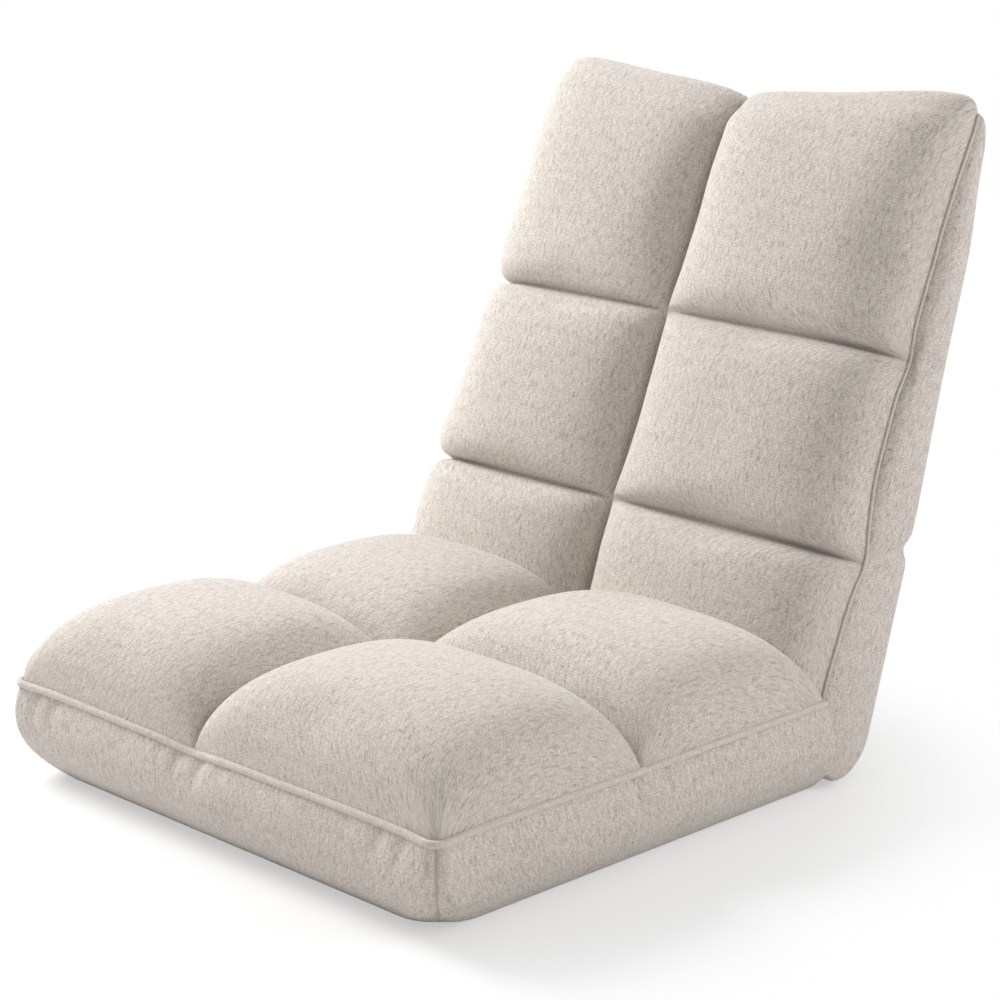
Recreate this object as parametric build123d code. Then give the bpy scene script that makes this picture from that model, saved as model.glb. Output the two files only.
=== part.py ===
from build123d import *

import os
from math import asin, atan2, cos, degrees, pi, radians, sin, sqrt, tan

# Floor chair: a quilted seat and a quilted back, joined by two ratchet hinges inside the cover.
# Millimetres. +Z is up, the sitter looks along -Y, and +X is the sitter's left.
# The origin is on the floor, under the middle of the seat's piped top seam.

# Seat
SEAT_WIDTH = 530.0  # between the side seams
SEAT_DEPTH = 456.0  # front seam to the crease at the back
SEAM_HEIGHT = 80.0  # piped top seam above the floor
SEAT_CORNER_RADIUS = 30.0
BOXING_BULGE = 9.0  # how far the side band swells past the seam
BOXING_TUCK = 30.0  # how far it is drawn in at the floor
SEAT_CROWN = 74.0  # top of a seat pillow above the seam
WELT_DIAMETER = 7.0
FELT_THICKNESS = 6.0

# Back
BACK_DRAW_IN = 13.0  # how far each side of the back is inside the seat's side seam
BACK_WIDTH = SEAT_WIDTH - 2 * BACK_DRAW_IN
BACK_LENGTH = 537.0  # hinge axis to the top edge
KNUCKLE_RADIUS = 42.0  # round lower end, about the hinge axis
TOP_RADIUS = 12.0  # round top edge
BACK_CROWN = 56.0
LOWER_ROW_START = 26.0  # along the front of the back, from beside the hinge axis
LOWER_SEAM = 142.0
UPPER_SEAM = 318.0
UPPER_ROW_END = 529.0
REST_LEAN = 20.0  # the frame of the back, from upright

# Covers and filling
CLOTH = 2.0
BACKING = 1.0  # sheet that a row of pillows is sewn to
SEWN_EDGE = 8.0  # height of a pillow at its end seams
FULLNESS = 0.72  # radius that a pillow turns down with, as a share of its height
SOFT_GAP = 0.6
RUN_GAP = 0.8  # between the round end of the back and its socket

# Frame and hinges
PIVOT_HEIGHT = 46.0
PIVOT_SETBACK = 30.0  # hinge axis behind the crease
TUBE_DIAMETER = 16.0
TUBE_WALL = 1.0
TUBE_BEND = 60.0
TUBE_SPREAD = 410.0  # between the two legs of a frame, which are in line with the hinges
SEAT_TUBE_HEIGHT = 30.0
SEAT_FRAME_FRONT = 70.0  # front rail behind the front seam
SEAT_TUBE_END = 54.0  # tube mouth in front of the hinge axis
BACK_FRAME_TOP = 22.0  # top rail below the top edge
BACK_TUBE_END = 56.0  # tube mouth above the hinge axis
CROSS_BAR_DIAMETER = 12.0
SEAT_CROSS_BARS = (110.0, 250.0)  # behind the front rail
BACK_CROSS_BARS = (130.0, 280.0)  # above the hinge axis
FRAME_CLEARANCE = 0.5  # foam round the frame
WELD_GAP = 0.05

# Ratchet
GEAR_RADIUS = 21.0
GEAR_THICKNESS = 4.0
POSITIONS_BACK = 10  # lock positions from the rest pose down to lying flat
POSITIONS_UP = 3  # and up to upright
FOLD_POSITION = 5  # notch that the pawl drops in with the back folded forward
STEP_ANGLE = 7.2
NOTCH_DEPTH = 1.7
NOTCH_ANGLE = 70.0
TOOTH_RELIEF = 4.0  # degrees that either side of the pawl's tooth is slimmer than a notch
PAWL_ARM = 17.0  # pawl pin to its tooth, across the back
PAWL_LIFT = 0.3  # tooth above the gear, with the pawl raised
PAWL_EYE_RADIUS = 5.0
PAWL_PIN_DIAMETER = 5.0
HINGE_PIN_DIAMETER = 8.0
PIN_HEAD = 2.5
CASE_PLATE = 2.0
CASE_RADIUS = 26.0
SIDE_CLEARANCE = 0.4
PIN_CLEARANCE = 0.05
STUB_LENGTH = 46.0  # of a hinge arm inside its tube
STUB_CLEARANCE = 0.1
RIVET_DIAMETER = 4.0
SPRING_THICKNESS = 0.6

# Zip along the lower rear of the back, sewn in behind a slot of the cover
ZIP_LENGTH = 400.0
ZIP_HEIGHT = 96.0  # along the rear of the back, from beside the hinge axis
ZIP_TAPE_WIDTH = 30.0
ZIP_TAPE = 0.5
ZIP_CHAIN_WIDTH = 6.0
ZIP_CHAIN = 1.4
SLIDER_LENGTH = 13.0
SLIDER_WIDTH = 10.0
SLIDER_WALL = 1.2
SLIDER_GAP = 0.3
BAIL_DIAMETER = 1.4
PULL_LENGTH = 24.0
PULL_WIDTH = 6.0

# Places that follow from the sizes above
CREASE_Y = SEAT_DEPTH / 2
PIVOT_Y = CREASE_Y + PIVOT_SETBACK
SOCKET_RADIUS = KNUCKLE_RADIUS + RUN_GAP
SOCKET_END = PIVOT_Y - 0.57 * SOCKET_RADIUS  # rear lip of the seat
FOAM_FLOOR = CLOTH + FELT_THICKNESS
FOAM_TOP = SEAM_HEIGHT - BACKING
TUBE_RADIUS = TUBE_DIAMETER / 2
TUBE_BORE = TUBE_RADIUS - TUBE_WALL
HINGE_X = TUBE_SPREAD / 2
TOP_CENTRE = BACK_LENGTH - TOP_RADIUS
TAPER = asin((KNUCKLE_RADIUS - TOP_RADIUS) / TOP_CENTRE)
FOLD_TURN = FOLD_POSITION * STEP_ANGLE
ARM_ROOT = 0.75 * GEAR_RADIUS  # half of the gear arm's width where it leaves the gear
NOTCH_HALF = radians(NOTCH_ANGLE / 2)
ENGAGEMENT = NOTCH_DEPTH - PAWL_LIFT  # of the pawl's tooth in a notch
PAWL_SWING = degrees(asin((ENGAGEMENT + PAWL_LIFT) / PAWL_ARM))
PAWL_NOSE = 3.0
PAWL_PIN = (GEAR_RADIUS + PAWL_NOSE, -PAWL_ARM)  # along the back and towards its front, from the hinge axis
SPRING_POST = (GEAR_RADIUS + 4 * PAWL_NOSE, PAWL_ARM - PAWL_NOSE)
STUB_RADIUS = TUBE_BORE - STUB_CLEARANCE
STUB_START = STUB_RADIUS + STUB_CLEARANCE  # where a stub leaves its plate, outside the tube's mouth
RIVET_ROOM = RIVET_DIAMETER / 2 + FRAME_CLEARANCE  # round a rivet's head, past its shank
CASE_FACE = GEAR_THICKNESS / 2 + SIDE_CLEARANCE  # inner face of a case plate, from the hinge's middle
CASE_OUTER = CASE_FACE + CASE_PLATE

# Local frames: the back stands along local Y with its front towards local +Z.
BACK = Plane(
    origin=(0, PIVOT_Y, PIVOT_HEIGHT),
    x_dir=(1, 0, 0),
    z_dir=(0, -cos(radians(REST_LEAN)), sin(radians(REST_LEAN))),
)
FRONT_FACE = Plane(
    origin=(0, KNUCKLE_RADIUS * sin(TAPER), KNUCKLE_RADIUS * cos(TAPER)),
    x_dir=(1, 0, 0),
    z_dir=(0, sin(TAPER), cos(TAPER)),
)
REAR_FACE = Plane(
    origin=(0, KNUCKLE_RADIUS * sin(TAPER), -KNUCKLE_RADIUS * cos(TAPER)),
    x_dir=(-1, 0, 0),
    z_dir=(0, sin(TAPER), -cos(TAPER)),
)
FAR = 2000.0  # longer than anything in the chair


def on_back(shape):
    """A shape made in the local frame of the back, at its place in the chair."""
    return shape.moved(BACK.location)


def bar(radius, length, centre, along=Axis.X):
    """A round bar about a point."""
    turned = Plane(origin=centre, z_dir=along.direction)
    return Cylinder(radius, length).moved(turned.location)


def disc(radius, thickness, centre_x, y=0.0, z=0.0):
    """A disc across the chair's width, about a point of a side view."""
    return bar(radius, thickness, (centre_x, y, z))


def plate(outline, thickness, centre_x):
    """A flat plate from its side view, where sketch X and Y are the chair's Y and Z."""
    face = Plane.YZ.offset(centre_x - thickness / 2) * outline
    return extrude(face, thickness, dir=(1, 0, 0))


def side_box(y_low, y_high, z_low, z_high, width):
    """A box across the chair, from the corners of its side view."""
    size = (width, y_high - y_low, z_high - z_low)
    return Pos(0, (y_low + y_high) / 2, (z_low + z_high) / 2) * Box(*size)


# Quilt pillows


def arch(half_span, rise):
    """A three-centre arch: the radius of its shoulders, the radius of its crown and the crown's end."""
    shoulder = FULLNESS * min(rise, half_span)
    reach = half_span - shoulder
    crown = (reach**2 + rise**2 - shoulder**2) / (2 * (rise - shoulder))
    return shoulder, crown, reach * crown / (crown - shoulder)


def arch_height(offset, half_span, rise):
    shoulder, crown, knee = arch(half_span, rise)
    if abs(offset) <= knee:
        return rise - crown + sqrt(crown**2 - offset**2)
    inner = abs(offset) - (half_span - shoulder)
    return sqrt(max(shoulder**2 - inner**2, 0.0))


def pillow_section(width, rise, y):
    """Cross-section of a pillow: a flat base under a three-centre arch."""
    half = width / 2
    shoulder, _, knee = arch(half, rise)
    knee_height = arch_height(knee, half, rise)
    turn = atan2(knee_height, knee - (half - shoulder)) / 2
    side = (half - shoulder + shoulder * cos(turn), shoulder * sin(turn))
    right = ThreePointArc((half, 0), side, (knee, knee_height))
    top = ThreePointArc((knee, knee_height), (0, rise), (-knee, knee_height))
    left = ThreePointArc((-knee, knee_height), (-side[0], side[1]), (-half, 0))
    face = make_face([right, top, left, Line((-half, 0), (half, 0))])
    return Plane(origin=(0, y, 0), x_dir=(1, 0, 0), z_dir=(0, -1, 0)) * face


def pillow(width, length, crown):
    """One stuffed chamber of the quilt: base on XY, crowned both ways, drawn down to its seams."""
    half = length / 2
    sections = []
    for turn in (-90, -66, -44, -22, 0, 22, 44, 66, 90):
        y = half * sin(radians(turn))
        rise = SEWN_EDGE + arch_height(y, half, crown - SEWN_EDGE)
        sections.append(pillow_section(width, rise, y))
    return loft(sections)


def seat_pillow(side, front):
    """A seat pillow; side is +1 or -1 across the chair, front is True for the front row."""
    width = SEAT_WIDTH / 2 - WELT_DIAMETER - SOFT_GAP / 2
    length = SEAT_DEPTH / 2 - WELT_DIAMETER - SOFT_GAP / 2
    middle_y = (length + SOFT_GAP) / 2 * (-1 if front else 1)
    body = Pos((width + SOFT_GAP) / 2, middle_y, SEAM_HEIGHT) * pillow(width, length, SEAT_CROWN)
    body = body - (corner_block() if front else back_wedge(FOLD_TURN))
    return body if side > 0 else mirror(body, Plane.YZ)


def corner_block():
    """All that is outside a flat cut across the left front corner of the quilt, clear of the piping."""
    radius = SEAT_CORNER_RADIUS - WELT_DIAMETER
    edge = sqrt((radius + SOFT_GAP / 2) ** 2 - radius**2)  # past the round, where the cut meets a side
    middle = Pos(SEAT_WIDTH / 2 - SEAT_CORNER_RADIUS, SEAT_CORNER_RADIUS - SEAT_DEPTH / 2)
    return middle * Rot(0, 0, -45) * Pos((radius + edge) / sqrt(2) + FAR / 2, 0, 0) * Box(FAR, FAR, FAR)


def back_pillow(side, start, end):
    """A back pillow between two heights along the front of the back."""
    width = BACK_WIDTH / 2 - SOFT_GAP - CLOTH
    length = end - start - SOFT_GAP
    middle = ((width + SOFT_GAP) / 2, (start + end) / 2, WELD_GAP)
    body = Pos(*middle) * pillow(width, length, BACK_CROWN)
    body = on_back(body.moved(FRONT_FACE.location)) - seat_room()
    return body if side > 0 else mirror(body, Plane.YZ)


# Seat cover


def seat_outset(share):
    """Swell of the side band at a share of its height, from the drawn-in foot to the seam."""
    return 4 * BOXING_BULGE * share * (1 - share) - BOXING_TUCK * (1 - share) ** 3


def seat_slice(outset, z):
    """Plan of the seat at one height. It runs on behind the rear lip, where it is cut later."""
    rear = SOCKET_END + 3 * BOXING_TUCK
    front = -SEAT_DEPTH / 2
    size = (SEAT_WIDTH + 2 * outset, rear - front + 2 * outset)
    outline = RectangleRounded(*size, max(SEAT_CORNER_RADIUS + outset, CLOTH))
    return Pos(0, (front + rear) / 2, z) * outline


def seat_body(inset, low=0.0, high=SEAM_HEIGHT):
    """The seat's outer form, drawn in by an inset, between two heights."""
    shares = (0.0, 0.14, 0.34, 0.62, 1.0)
    slices = [seat_slice(seat_outset(share) - inset, share * SEAM_HEIGHT) for share in shares]
    body = loft(slices)
    return body & side_box(-FAR, FAR, low, high, FAR)


def seat_slab(inset, low, high):
    """A flat sheet or pad in the plan of the seat."""
    return extrude(seat_slice(-inset, low), high - low)


def turned(shape, angle):
    """A piece of the back, with the back folded forward by an angle."""
    return shape.rotate(Axis((0, PIVOT_Y, PIVOT_HEIGHT), (1, 0, 0)), angle)


def beside_front(low, high, turn):
    """A slab along the front of the back, above the hinge axis, at one turn of the back."""
    block = Pos(0, FAR / 2, (low + high) / 2) * Box(FAR, FAR, high - low)
    return turned(on_back(block.moved(FRONT_FACE.location)), turn)


def back_wedge(turn):
    """All that the back fills behind its front, at one turn of the back."""
    return beside_front(-FAR, RUN_GAP, turn)


def seat_room():
    """All that the folded back leaves to the seat."""
    return beside_front(RUN_GAP - SOFT_GAP, FAR, FOLD_TURN)


def socket(margin=0.0, turn=FOLD_TURN):
    """Room that the back needs in the seat: its round end, its folded front and all behind the rear lip."""
    behind = side_box(SOCKET_END - margin, FAR, -FAR, FAR, FAR)
    round_end = disc(SOCKET_RADIUS + margin, FAR, 0, PIVOT_Y, PIVOT_HEIGHT)
    return [round_end, behind, Pos(0, -margin, 0) * back_wedge(turn)]


def make_seat_boxing():
    outer = seat_body(0)
    shares = (0.0, 0.14, 0.34, 0.62, 1.0)
    over = {0.0: -1.0, 1.0: SEAM_HEIGHT + 1.0}  # the inside runs out past both edges
    inner = loft(
        [seat_slice(seat_outset(s) - CLOTH, over.get(s, s * SEAM_HEIGHT)) for s in shares]
    )
    return outer - inner - socket()


def make_seat_bottom_panel():
    panel = seat_slab(BOXING_TUCK + CLOTH + SOFT_GAP, 0, CLOTH)
    return panel - socket()


def make_seat_felt_pad():
    pad = seat_slab(BOXING_TUCK + CLOTH + SOFT_GAP, CLOTH, FOAM_FLOOR)
    return pad - socket(CLOTH + SOFT_GAP)


def make_seat_rear_lining():
    """Cloth over the rear end of the foam, where the back turns and folds."""
    lining = seat_body(CLOTH + SOFT_GAP, FOAM_FLOOR, FOAM_TOP) - socket()
    lining = lining & (side_box(PIVOT_Y - FAR / 2, PIVOT_Y, 0, FAR, FAR))
    lining = lining - (seat_body(0) - socket(CLOTH))
    for side in (1, -1):
        lining = lining - hinge_slot(side)
    return lining


def make_crease_gusset():
    """Soft filling and cloth between the seat's rear end and the back; folding the back squeezes it."""
    wedge = seat_body(0, FOAM_FLOOR, SEAM_HEIGHT) & back_wedge(FOLD_TURN)
    wedge = wedge - socket(turn=0)
    for side in (1, -1):
        wedge = wedge - hinge_slot(side)
    return wedge


def make_seat_foam():
    foam = seat_body(CLOTH + SOFT_GAP, FOAM_FLOOR, FOAM_TOP)
    foam = foam - socket(CLOTH + SOFT_GAP)
    foam = foam - seat_frame_channel() - make_seat_frame_rivets(hole=RIVET_ROOM)
    for side in (1, -1):
        foam = foam - hinge_slot(side)
    return foam


def make_seat_quilt_backing():
    sheet = seat_slab(WELT_DIAMETER / 2 + SOFT_GAP, FOAM_TOP, SEAM_HEIGHT)
    return sheet - socket(CLOTH + SOFT_GAP)


def fold_edge(height):
    """How far back the front of the back comes at a height, with the back folded forward."""
    lean = radians(REST_LEAN - FOLD_TURN) + TAPER
    return PIVOT_Y - (KNUCKLE_RADIUS + RUN_GAP - (height - PIVOT_HEIGHT) * sin(lean)) / cos(lean)


def make_seat_welt():
    """Piping along the top seam, from one rear corner round the front to the other."""
    radius = WELT_DIAMETER / 2
    half = SEAT_WIDTH / 2 - radius
    front = radius - SEAT_DEPTH / 2
    height = SEAM_HEIGHT + radius
    end = fold_edge(height + radius) - RUN_GAP
    left = [(half, end, height), (half, front, height)]
    right = [(-x, y, z) for x, y, z in reversed(left)]
    path = FilletPolyline(*left, *right, radius=SEAT_CORNER_RADIUS - radius)
    return swept(path, Circle(radius - SOFT_GAP / 2))


# Back cover


def tapered(low, high, reach):
    """Two rounds and the straight sides between them: one at the sketch's origin, one along its X."""
    lean = asin((low - high) / reach)
    low_side = (low * sin(lean), low * cos(lean))
    high_side = (reach + high * sin(lean), high * cos(lean))
    low_turn = (-low * sin(pi / 4), low * cos(pi / 4))
    high_turn = (reach + high * sin(pi / 4), high * cos(pi / 4))
    half = [
        ThreePointArc((-low, 0), low_turn, low_side),
        Line(low_side, high_side),
        ThreePointArc(high_side, high_turn, (reach + high, 0)),
    ]
    return make_face(half + [mirror(edge, Plane.XZ) for edge in half])


def tear(inset):
    """Side view of the back, from the round lower end to the thin top, drawn in by an inset."""
    return tapered(KNUCKLE_RADIUS - inset, TOP_RADIUS - inset, TOP_CENTRE)


def make_back_cover():
    """Cover of the rear, the top and the round lower end; it is open where the quilt closes it."""
    width = BACK_WIDTH - 2 * (CLOTH + SOFT_GAP)
    wrap = plate(tear(0), width, 0) - plate(tear(CLOTH), FAR, 0)
    opening = side_box(LOWER_ROW_START, TOP_CENTRE, 0, FAR, FAR)
    zip_slot = Pos(0, ZIP_HEIGHT, 0) * Box(ZIP_LENGTH, SLIDER_WIDTH + 4 * SLIDER_GAP, 2 * CLOTH)
    wrap = wrap - opening - zip_slot.moved(REAR_FACE.location)
    for side in (1, -1):
        wrap = wrap - arm_sweep(side, KNUCKLE_RADIUS)
    return on_back(wrap)


def make_back_side(side):
    panel = plate(tear(0), CLOTH, side * (BACK_WIDTH - CLOTH) / 2)
    return on_back(panel)


def make_back_quilt_backing():
    width = BACK_WIDTH - 2 * (CLOTH + SOFT_GAP)
    low = LOWER_ROW_START + SOFT_GAP
    high = TOP_CENTRE - CLOTH
    sheet = Pos(0, (low + high) / 2, -BACKING / 2) * Box(width, high - low, BACKING)
    return on_back(sheet.moved(FRONT_FACE.location))


def make_back_foam():
    width = BACK_WIDTH - 2 * (CLOTH + SOFT_GAP)
    foam = plate(tear(CLOTH + SOFT_GAP), width, 0)
    foam = foam - back_frame_channel()
    for side in (1, -1):
        foam = foam - hinge_pocket(side)
    return on_back(foam) - make_back_frame_rivets(hole=RIVET_ROOM)


# Steel frames


def frame_path(legs_end, rail, height):
    """Centre line of a bent tube: two legs and a rail across, in a plane at a height."""
    left = [(HINGE_X, legs_end, height), (HINGE_X, rail, height)]
    right = [(-x, y, z) for x, y, z in reversed(left)]
    return FilletPolyline(*left, *right, radius=TUBE_BEND)


def swept(path, section):
    """A section swept along a path from its start. The section's X stays level."""
    start = Plane(origin=path @ 0, x_dir=(1, 0, 0), z_dir=path % 0)
    return sweep(start * section, path)


def seat_path():
    return frame_path(PIVOT_Y - SEAT_TUBE_END, -SEAT_DEPTH / 2 + SEAT_FRAME_FRONT, SEAT_TUBE_HEIGHT)


def back_path():
    return frame_path(BACK_TUBE_END, BACK_LENGTH - BACK_FRAME_TOP, 0)


def tube_section():
    return Circle(TUBE_RADIUS) - Circle(TUBE_BORE)


def cross_bar(y, z):
    """A bar between the legs of a frame, with its ends hollowed to fit them."""
    straight = bar(CROSS_BAR_DIAMETER / 2, TUBE_SPREAD, (0, y, z))
    for side in (1, -1):
        straight = straight - bar(TUBE_RADIUS + WELD_GAP, 4 * TUBE_DIAMETER, (side * HINGE_X, y, z), Axis.Y)
    return straight


def seat_bar_places():
    rail = -SEAT_DEPTH / 2 + SEAT_FRAME_FRONT
    return [rail + behind for behind in SEAT_CROSS_BARS]


def make_seat_frame_tube():
    return swept(seat_path(), tube_section()) - make_seat_frame_rivets(hole=WELD_GAP)


def make_seat_cross_bars():
    return Compound([cross_bar(y, SEAT_TUBE_HEIGHT) for y in seat_bar_places()])


def seat_frame_channel():
    """Cut in the underside of the foam that the frame is pressed into."""
    top = SEAT_TUBE_HEIGHT + TUBE_RADIUS + FRAME_CLEARANCE
    depth = top - FOAM_FLOOR + CLOTH
    width = TUBE_DIAMETER + 2 * FRAME_CLEARANCE
    slot = Pos(0, top - depth / 2 - SEAT_TUBE_HEIGHT) * Rectangle(width, depth)
    cuts = [swept(seat_path(), slot)]
    bar_top = SEAT_TUBE_HEIGHT + CROSS_BAR_DIAMETER / 2 + FRAME_CLEARANCE
    for y in seat_bar_places():
        half = CROSS_BAR_DIAMETER / 2 + FRAME_CLEARANCE
        cuts.append(side_box(y - half, y + half, FOAM_FLOOR - CLOTH, bar_top, TUBE_SPREAD))
    return cuts


def make_back_frame_tube():
    return on_back(swept(back_path(), tube_section())) - make_back_frame_rivets(hole=WELD_GAP)


def make_back_cross_bars():
    return on_back(Compound([cross_bar(y, 0) for y in BACK_CROSS_BARS]))


def back_frame_channel():
    """Cut in the rear of the foam that the frame is pressed into."""
    front = TUBE_RADIUS + FRAME_CLEARANCE
    depth = front + KNUCKLE_RADIUS
    slot = Pos(0, front - depth / 2) * Rectangle(TUBE_DIAMETER + 2 * FRAME_CLEARANCE, depth)
    cuts = [swept(back_path(), slot)]
    half = CROSS_BAR_DIAMETER / 2 + FRAME_CLEARANCE
    for y in BACK_CROSS_BARS:
        cuts.append(side_box(y - half, y + half, front - depth, half, TUBE_SPREAD))
    return cuts


def rivet(centre, along, hole):
    """A rivet across a tube, or the hole for it."""
    length = TUBE_DIAMETER + 2 * PIN_HEAD
    if hole:
        return bar(RIVET_DIAMETER / 2 + hole, length, centre, along)
    shank = bar(RIVET_DIAMETER / 2, TUBE_DIAMETER, centre, along)
    for end in (1, -1):
        offset = along.direction * (end * (TUBE_RADIUS + PIN_HEAD / 4))
        head = bar(RIVET_DIAMETER, PIN_HEAD / 2, Vector(*centre) + offset, along)
        shank = shank + head
    return shank


def make_seat_frame_rivets(hole=0.0):
    y = PIVOT_Y - SEAT_TUBE_END - STUB_LENGTH / 2
    return Compound([rivet((side * HINGE_X, y, SEAT_TUBE_HEIGHT), Axis.X, hole) for side in (1, -1)])


def make_back_frame_rivets(hole=0.0):
    y = BACK_TUBE_END + STUB_LENGTH / 2
    return on_back(Compound([rivet((side * HINGE_X, y, 0), Axis.X, hole) for side in (1, -1)]))


# Ratchet hinges


def arm_reach():
    """Gear arm from the hinge axis to its stub: its length and its angle in the side view."""
    run = SEAT_TUBE_END - STUB_START
    rise = SEAT_TUBE_HEIGHT - PIVOT_HEIGHT
    return sqrt(run**2 + rise**2), degrees(atan2(rise, -run))


def notch_places():
    return [*range(-POSITIONS_BACK, POSITIONS_UP + 1), FOLD_POSITION]


def notch(place):
    """A tooth gap of the gear, at its number of steps from the rest pose."""
    over = 2 * NOTCH_DEPTH
    half = over * tan(NOTCH_HALF)
    bottom = GEAR_RADIUS - NOTCH_DEPTH
    gap = Polygon((bottom, 0), (bottom + over, half), (bottom + over, -half), align=None)
    return Rot(0, 0, 90 - REST_LEAN + place * STEP_ANGLE) * gap


def make_gear_arm(side):
    """Gear sector and arm cut from one plate, with a round stub that is riveted in the seat tube."""
    reach, angle = arm_reach()
    outline = Circle(GEAR_RADIUS) - [notch(place) for place in notch_places()]
    outline = outline + Rot(0, 0, angle) * tapered(ARM_ROOT, STUB_RADIUS, reach)
    outline = outline - Circle(HINGE_PIN_DIAMETER / 2 + PIN_CLEARANCE)
    x = side * HINGE_X
    body = plate(outline, GEAR_THICKNESS, x).moved(Location((0, PIVOT_Y, PIVOT_HEIGHT)))
    length = STUB_LENGTH + STUB_START
    stub_y = PIVOT_Y - SEAT_TUBE_END + STUB_START - length / 2
    body = body + bar(STUB_RADIUS, length, (x, stub_y, SEAT_TUBE_HEIGHT), Axis.Y)
    return body - make_seat_frame_rivets(hole=WELD_GAP)


def hinge_slot(side):
    """Room in the seat for the gear arm and the mouth of its tube."""
    half = TUBE_RADIUS + FRAME_CLEARANCE
    top = PIVOT_HEIGHT + GEAR_RADIUS
    start = PIVOT_Y - SEAT_TUBE_END - STUB_CLEARANCE
    room = side_box(start, FAR, FOAM_FLOOR - CLOTH, top, 2 * half)
    return Pos(side * HINGE_X, 0, 0) * room


def arm_sweep(side, radius):
    """Room in the back for the gear arm outside a radius, over the whole travel of the back."""
    half = GEAR_THICKNESS / 2 + FRAME_CLEARANCE
    angle = arm_reach()[1]
    along = angle - (90 - REST_LEAN)  # of the arm, from the back's own length, at rest
    spread = degrees(asin(ARM_ROOT / radius))
    start = along - FOLD_TURN - spread
    end = along + POSITIONS_BACK * STEP_ANGLE + spread
    outside = 2 * KNUCKLE_RADIUS
    turns = [radians(turn) for turn in (start, (start + end) / 2, end)]
    rim = [(outside * cos(turn), outside * sin(turn)) for turn in turns]
    sector = make_face([Line((0, 0), rim[0]), ThreePointArc(*rim), Line(rim[2], (0, 0))])
    return plate(sector, 2 * half, side * HINGE_X)


def hinge_pocket(side):
    """Room in the foam of the back for the hinge case, its pins and the sweep of the arm."""
    half = max(CASE_OUTER + PIN_HEAD, TUBE_RADIUS) + FRAME_CLEARANCE
    case = CASE_RADIUS + FRAME_CLEARANCE
    pocket = side_box(-FAR, BACK_TUBE_END, -case, case, 2 * half)
    return [Pos(side * HINGE_X, 0, 0) * pocket, arm_sweep(side, CASE_RADIUS)]


def case_outline():
    """Side view of a case plate: round the hinge pin, out to two posts and up to the tube's mouth."""
    neck = BACK_TUBE_END - STUB_START
    outline = tapered(CASE_RADIUS, STUB_RADIUS, neck)
    for post in (PAWL_PIN, SPRING_POST):
        reach = sqrt(post[0] ** 2 + post[1] ** 2)
        ear = tapered(CASE_RADIUS, PAWL_EYE_RADIUS, reach)
        outline = outline + Rot(0, 0, degrees(atan2(post[1], post[0]))) * ear
    return outline


def make_hinge_case(side, outward):
    """One of the two plates of a hinge case, pressed out to half a round stub for the tube of the back."""
    direction = side * outward
    x = side * HINGE_X
    bores = Circle(HINGE_PIN_DIAMETER / 2 + WELD_GAP)
    bores = bores + Pos(*PAWL_PIN) * Circle(PAWL_PIN_DIAMETER / 2 + WELD_GAP)
    body = plate(case_outline() - bores, CASE_PLATE, x + direction * (CASE_FACE + CASE_PLATE / 2))
    start = BACK_TUBE_END - STUB_START
    length = STUB_LENGTH + STUB_START
    stub = bar(STUB_RADIUS, length, (x, start + length / 2, 0), Axis.Y)
    half = Pos(x + direction * (TUBE_RADIUS + WELD_GAP / 2), start + length / 2, 0) * Box(
        TUBE_DIAMETER, length, TUBE_DIAMETER
    )
    body = body + (stub & half)
    if outward < 0:
        post = disc(RIVET_DIAMETER / 2, 2 * CASE_FACE, x, *SPRING_POST)
        body = body + post
    return on_back(body) - make_back_frame_rivets(hole=WELD_GAP)


def make_hinge_pin(side):
    x = side * HINGE_X
    pin = disc(HINGE_PIN_DIAMETER / 2, 2 * CASE_OUTER, x)
    for end in (1, -1):
        pin = pin + disc(0.85 * HINGE_PIN_DIAMETER, PIN_HEAD, x + end * (CASE_OUTER + PIN_HEAD / 2))
    return on_back(pin)


def make_pawl_pin(side):
    return on_back(disc(PAWL_PIN_DIAMETER / 2, 2 * CASE_OUTER, side * HINGE_X, *PAWL_PIN))


def pawl_nose():
    """Middle of the pawl's round nose with its tooth in a notch, from the hinge axis."""
    return (GEAR_RADIUS - ENGAGEMENT + NOTCH_DEPTH + PAWL_NOSE, 0.0)


def make_pawl(side):
    """Pawl with one tooth, drawn in a notch and then raised clear of the gear about its pin."""
    x = side * HINGE_X
    nose = pawl_nose()
    across = (nose[0] - PAWL_PIN[0], nose[1] - PAWL_PIN[1])
    lever = tapered(PAWL_EYE_RADIUS, PAWL_NOSE, sqrt(across[0] ** 2 + across[1] ** 2))
    lever = Pos(*PAWL_PIN) * Rot(0, 0, degrees(atan2(across[1], across[0]))) * lever
    tip = GEAR_RADIUS - ENGAGEMENT
    half = (nose[0] - tip) * tan(NOTCH_HALF - radians(TOOTH_RELIEF))
    tooth = Polygon((tip, 0), (nose[0], half), (nose[0], -half), align=None)
    body = plate(lever, GEAR_THICKNESS, x) + plate(tooth, GEAR_THICKNESS, x)
    body = body - disc(PAWL_PIN_DIAMETER / 2 + PIN_CLEARANCE, FAR, 0, *PAWL_PIN)
    raised = body.rotate(Axis((0, *PAWL_PIN), (1, 0, 0)), -PAWL_SWING)
    return on_back(raised)


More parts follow.
